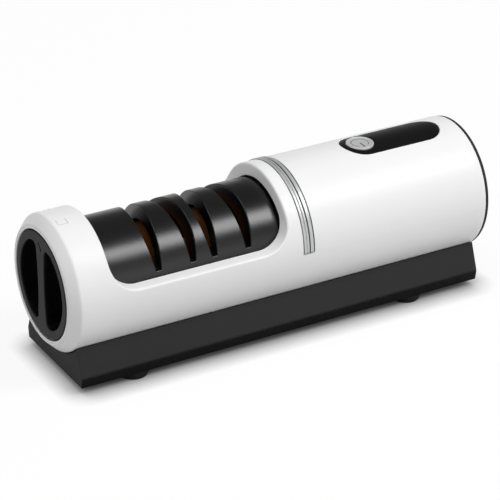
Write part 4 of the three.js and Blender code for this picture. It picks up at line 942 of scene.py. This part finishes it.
def finish(name, pattern, values, shader, bump, cover=None, depth=0.0001):
    """Material: a pattern group on Object coordinates that feeds a Principled shader and its bump. A cover is
    the group and the colour for the painted shade and painted reflection that the piece's attribute gives."""
    material = bpy.data.materials.new(name)
    material.use_nodes = True
    tree = material.node_tree
    principled = next(node for node in tree.nodes if node.type == "BSDF_PRINCIPLED")
    place = add(tree, "TexCoord", {}).outputs["Object"]
    surface = add(tree, "Group", {"Vector": place, **values}, node_tree=pattern).outputs
    colour = surface["Colour"]
    if cover:
        amount = add(tree, "Attribute", {}, attribute_name="painted_light").outputs["Fac"]
        laid = {"Vector": place, "Colour": colour, "Tint": shade(cover[1]), "Amount": amount}
        colour = add(tree, "Group", laid, node_tree=cover[0]).outputs["Colour"]
    if "Roughness" in surface:
        shader["Roughness"] = surface["Roughness"]
    relief = add(tree, "Bump", {"Height": surface["Height"], "Strength": bump, "Distance": depth})
    feed(tree, principled, {"Base Color": colour, "Normal": relief.outputs[0], **shader})
    return material


def make_finishes():
    """All finishes by the names of their slots."""
    plastic_inputs = ("Colour", "Roughness", "Mottle", "Gloss Change", "Grain Scale")
    metal_inputs = ("Colour", "Roughness", "Line Stretch", "Tarnish", "Gloss Change")
    out = ("Colour", "Roughness", "Height")
    plastic = group("Moulded Plastic", plastic_inputs, out, moulded)
    metal = group("Brushed Metal", metal_inputs, out, brushed)
    grit = group("Bonded Grit", ("Bond", "Grain", "Grain Scale"), ("Colour", "Height"), bonded)
    painted_light = group("Painted Light Tint", ("Colour", "Tint", "Amount"), ("Colour",), painted_light_tint)
    looks = {}
    for table, pattern, inputs, last in (
            (PLASTICS, plastic, plastic_inputs, "Specular IOR Level"),
            (METALS, metal, metal_inputs, "Metallic")):
        for slot, (name, colour, *values, bump, level) in table.items():
            values = dict(zip(inputs, (shade(colour), *values)))
            cover = (painted_light, PAINTED_LIGHT_COLOURS[slot]) if slot in PAINTED_LIGHT_COLOURS else None
            looks[slot] = finish(name, pattern, values, {last: level}, bump, cover)
    looks["abrasive"] = finish("Wheel Abrasive", grit, {
        "Bond": shade((90, 52, 17)), "Grain": shade((134, 84, 36)), "Grain Scale": 2600},
        {"Roughness": 0.85, "Specular IOR Level": 0.15}, 0.8, None, 0.0002)
    return looks


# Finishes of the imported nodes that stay
CAD_FINISHES = {
    "steel": "dial_spindle latch_bolt_near latch_bolt_far detent_spring front_bearing rear_bearing "
             "wheel_shaft motor_shaft button_spring",
    "zinc": "motor_can mount_screw_upper mount_screw_lower barrel_screw_left barrel_screw_right",
    "copper": "armature commutator",
    "ferrite": "magnet_near magnet_far",
    "board_green": "switch_board",
    "grey_nylon": "latch_cam cassette_front cassette_bed wheel_coupling motor_coupling motor_mount "
                  "motor_end_bell front_spacer coarse_spacer centre_spacer fine_spacer rear_spacer",
    "gloss_black": "tact_switch power_socket",
    "charcoal": "base_plate",
}


# Assembly


def wear(piece, material):
    """Gives a piece one material in place of what it has."""
    piece.data.materials.clear()
    piece.data.materials.append(material)


def fit(piece, look, node=None, body="housing"):
    """Gives a piece its finish and its body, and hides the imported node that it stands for."""
    wear(piece, LOOKS[look])
    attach(piece, body)
    if node:
        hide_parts(node)


def assemble():
    """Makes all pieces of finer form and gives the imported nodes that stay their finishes."""
    fit(barrel_shell(), "white_shell", "barrel_shell")
    fit(guide_cover(), "satin_black", "guide_cover")
    fit(dial(), "dial_grey", "dial", "dial")
    fit(chrome_band(), "chrome_trim", "chrome_band")
    fit(window_plate(), "gloss_black", "control_window")
    fit(power_button(), "silver_button", "power_button", "button")
    ring, bar = power_symbol()
    fit(ring, "sign_grey", body="button")
    fit(bar, "sign_dark", body="button")
    fit(collar_mark("collar_mark_near", -112.9, -107.8, 5.5, 12.5), "mark_grey")
    fit(collar_mark("collar_mark_far", -113.6, -107.2, -28.0, -22.0), "mark_grey")
    fit(base_housing(), "charcoal", "base_housing")
    fit(end_cap(), "charcoal", "end_cap")
    for side, place in zip(FOOT_NAMES, FOOT_PLACES):
        fit(foot(f"foot_{side}_pad", *place), "rubber", f"foot_{side}")
    for side, place in zip(FOOT_NAMES, SCREW_PLACES):
        fit(base_screw(f"base_screw_{side}_cross", *place), "zinc", f"base_screw_{side}")
    for grade, stage in zip(("coarse", "fine"), STAGES):
        for side, word in ((-1, "left"), (1, "right")):
            piece = wheel(f"{grade}_wheel_{word}_grit", stage, side)
            fit(piece, "abrasive", f"{grade}_wheel_{word}", "rotor")
    for slot, names in CAD_FINISHES.items():
        for name in names.split():
            wear(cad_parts[name], LOOKS[slot])


# Setting, in metres, degrees and watts

FLOOR_GLOW = 0.88
FLOOR_BOUNCE = 0.55
FLOOR_REACH = 6.0
CONTACT_REACH = 0.013
CONTACT_POWER = 1.7
CEILING = 0.2
CEILING_HEIGHT = 0.3
WORLD_LIGHT = 0.33
CAMERA_TURN = 30.176
CAMERA_TILT = 27.421
CAMERA_ROLL = 0.357
CAMERA_AWAY = 1.2551
CAMERA_TARGET = (-0.00264, 0.0, 0.03795)
LENS = 177.6
SENSOR = 36.0
LAMP_TARGET = (0.0, 0.0, 0.045)
LAMPS = {  # place, size, power
    "key": ((1.07, -1.22, 1.8), 0.85, 30.5),
    "top": ((-0.5, 0.1, 2.5), 1.2, 15.0),
    "front": ((0.3, -1.5, 0.35), 0.8, 1.8),
    "left": ((-1.4, -0.25, 0.75), 0.7, 2.2),
}
WHITE = (1, 1, 1, 1)


def lamp(name, place, size, power):
    """Square soft lamp at a place, facing the object."""
    light = bpy.data.lights.new(name, "AREA")
    light.shape = "SQUARE"
    light.size = size
    light.energy = power
    piece = put(name, light)
    piece.location = place
    piece.rotation_euler = (Vector(LAMP_TARGET) - Vector(place)).to_track_quat("-Z", "Y").to_euler()


def seen_directly(tree):
    """1 for rays from the camera, from a gloss or through glass, which see the white setting."""
    path = add(tree, "LightPath", {}).outputs
    mirrored = maths(tree, "MAXIMUM", path["Is Glossy Ray"], path["Is Transmission Ray"])
    return maths(tree, "MAXIMUM", path["Is Camera Ray"], mirrored)


def two_faced(tree, result, plain, seen):
    """Mixes what lights the object with what is seen, and leads it to the result."""
    mixed = add(tree, "MixShader", {0: seen_directly(tree), 1: plain, 2: seen})
    add(tree, result, {"Surface": mixed.outputs[0]})


def set_world():
    """White all round up to a darker ceiling, as it is seen, and even grey light on the object."""
    world = bpy.data.worlds.new("Studio Light")
    world.use_nodes = True
    tree = world.node_tree
    tree.nodes.clear()
    toward = add(tree, "TexCoord", {}).outputs["Generated"]
    height = add(tree, "SeparateXYZ", {0: toward}).outputs[2]
    ceiling = spread_range(tree, height, 0.0, CEILING_HEIGHT, 1.0, CEILING)
    level = maths(tree, "MAXIMUM", ceiling, add(tree, "LightPath", {}).outputs["Is Camera Ray"])
    soft = add(tree, "Background", {"Color": WHITE, "Strength": WORLD_LIGHT})
    white = add(tree, "Background", {"Color": WHITE, "Strength": level})
    two_faced(tree, "OutputWorld", soft.outputs[0], white.outputs[0])
    bpy.context.scene.world = world


def set_floor():
    """Plain white floor. As it is seen, part of it is its own lit surface with the lamps' shadows and part
    is an even white glow with a painted contact shadow where the object stands close over it."""
    material = bpy.data.materials.new("Pale Floor")
    material.use_nodes = True
    tree = material.node_tree
    tree.nodes.clear()
    plain = add(tree, "BsdfDiffuse", {"Color": (FLOOR_BOUNCE, FLOOR_BOUNCE, FLOOR_BOUNCE, 1)})
    paper = add(tree, "BsdfDiffuse", {"Color": WHITE})
    # Painted contact shadow: ambient occlusion near the object darkens the floor's glow
    near = add(tree, "AmbientOcclusion", {"Distance": CONTACT_REACH}, samples=24)
    unshaded_share = maths(tree, "POWER", near.outputs["AO"], CONTACT_POWER)
    glow = add(tree, "Emission", {"Color": WHITE, "Strength": unshaded_share})
    seen = add(tree, "MixShader", {0: FLOOR_GLOW, 1: paper.outputs[0], 2: glow.outputs[0]})
    two_faced(tree, "OutputMaterial", plain.outputs[0], seen.outputs[0])
    mesh = bpy.data.meshes.new("floor")
    corners = [(x * FLOOR_REACH, y * FLOOR_REACH, 0) for x, y in ((-1, -1), (1, -1), (1, 1), (-1, 1))]
    mesh.from_pydata(corners, [], [(0, 1, 2, 3)])
    mesh.materials.append(material)
    put("floor", mesh)


def set_camera():
    """Camera of the photograph: turned round, tilted down and leaned, away from its target along its look."""
    turn, tilt, roll = np.radians((CAMERA_TURN, CAMERA_TILT, CAMERA_ROLL)).tolist()
    look = Vector((math.sin(turn) * math.cos(tilt), math.cos(turn) * math.cos(tilt), -math.sin(tilt)))
    right = Vector((math.cos(turn), -math.sin(turn), 0))
    up = right.cross(look)
    leaned = right * math.cos(roll) + up * math.sin(roll)
    upright = up * math.cos(roll) - right * math.sin(roll)
    lens = bpy.data.cameras.new("Camera")
    lens.lens = LENS
    lens.sensor_width = SENSOR
    lens.clip_end = 20.0
    camera = put("Camera", lens)
    axes = Matrix((leaned, upright, -look)).transposed()
    camera.matrix_world = Matrix.Translation(Vector(CAMERA_TARGET) - look * CAMERA_AWAY) @ axes.to_4x4()
    bpy.context.scene.camera = camera


LOOKS = make_finishes()
assemble()
set_world()
set_floor()
set_camera()
for lamp_name, settings in LAMPS.items():
    lamp(lamp_name, *settings)
bpy.context.scene.view_settings.view_transform = "Standard"
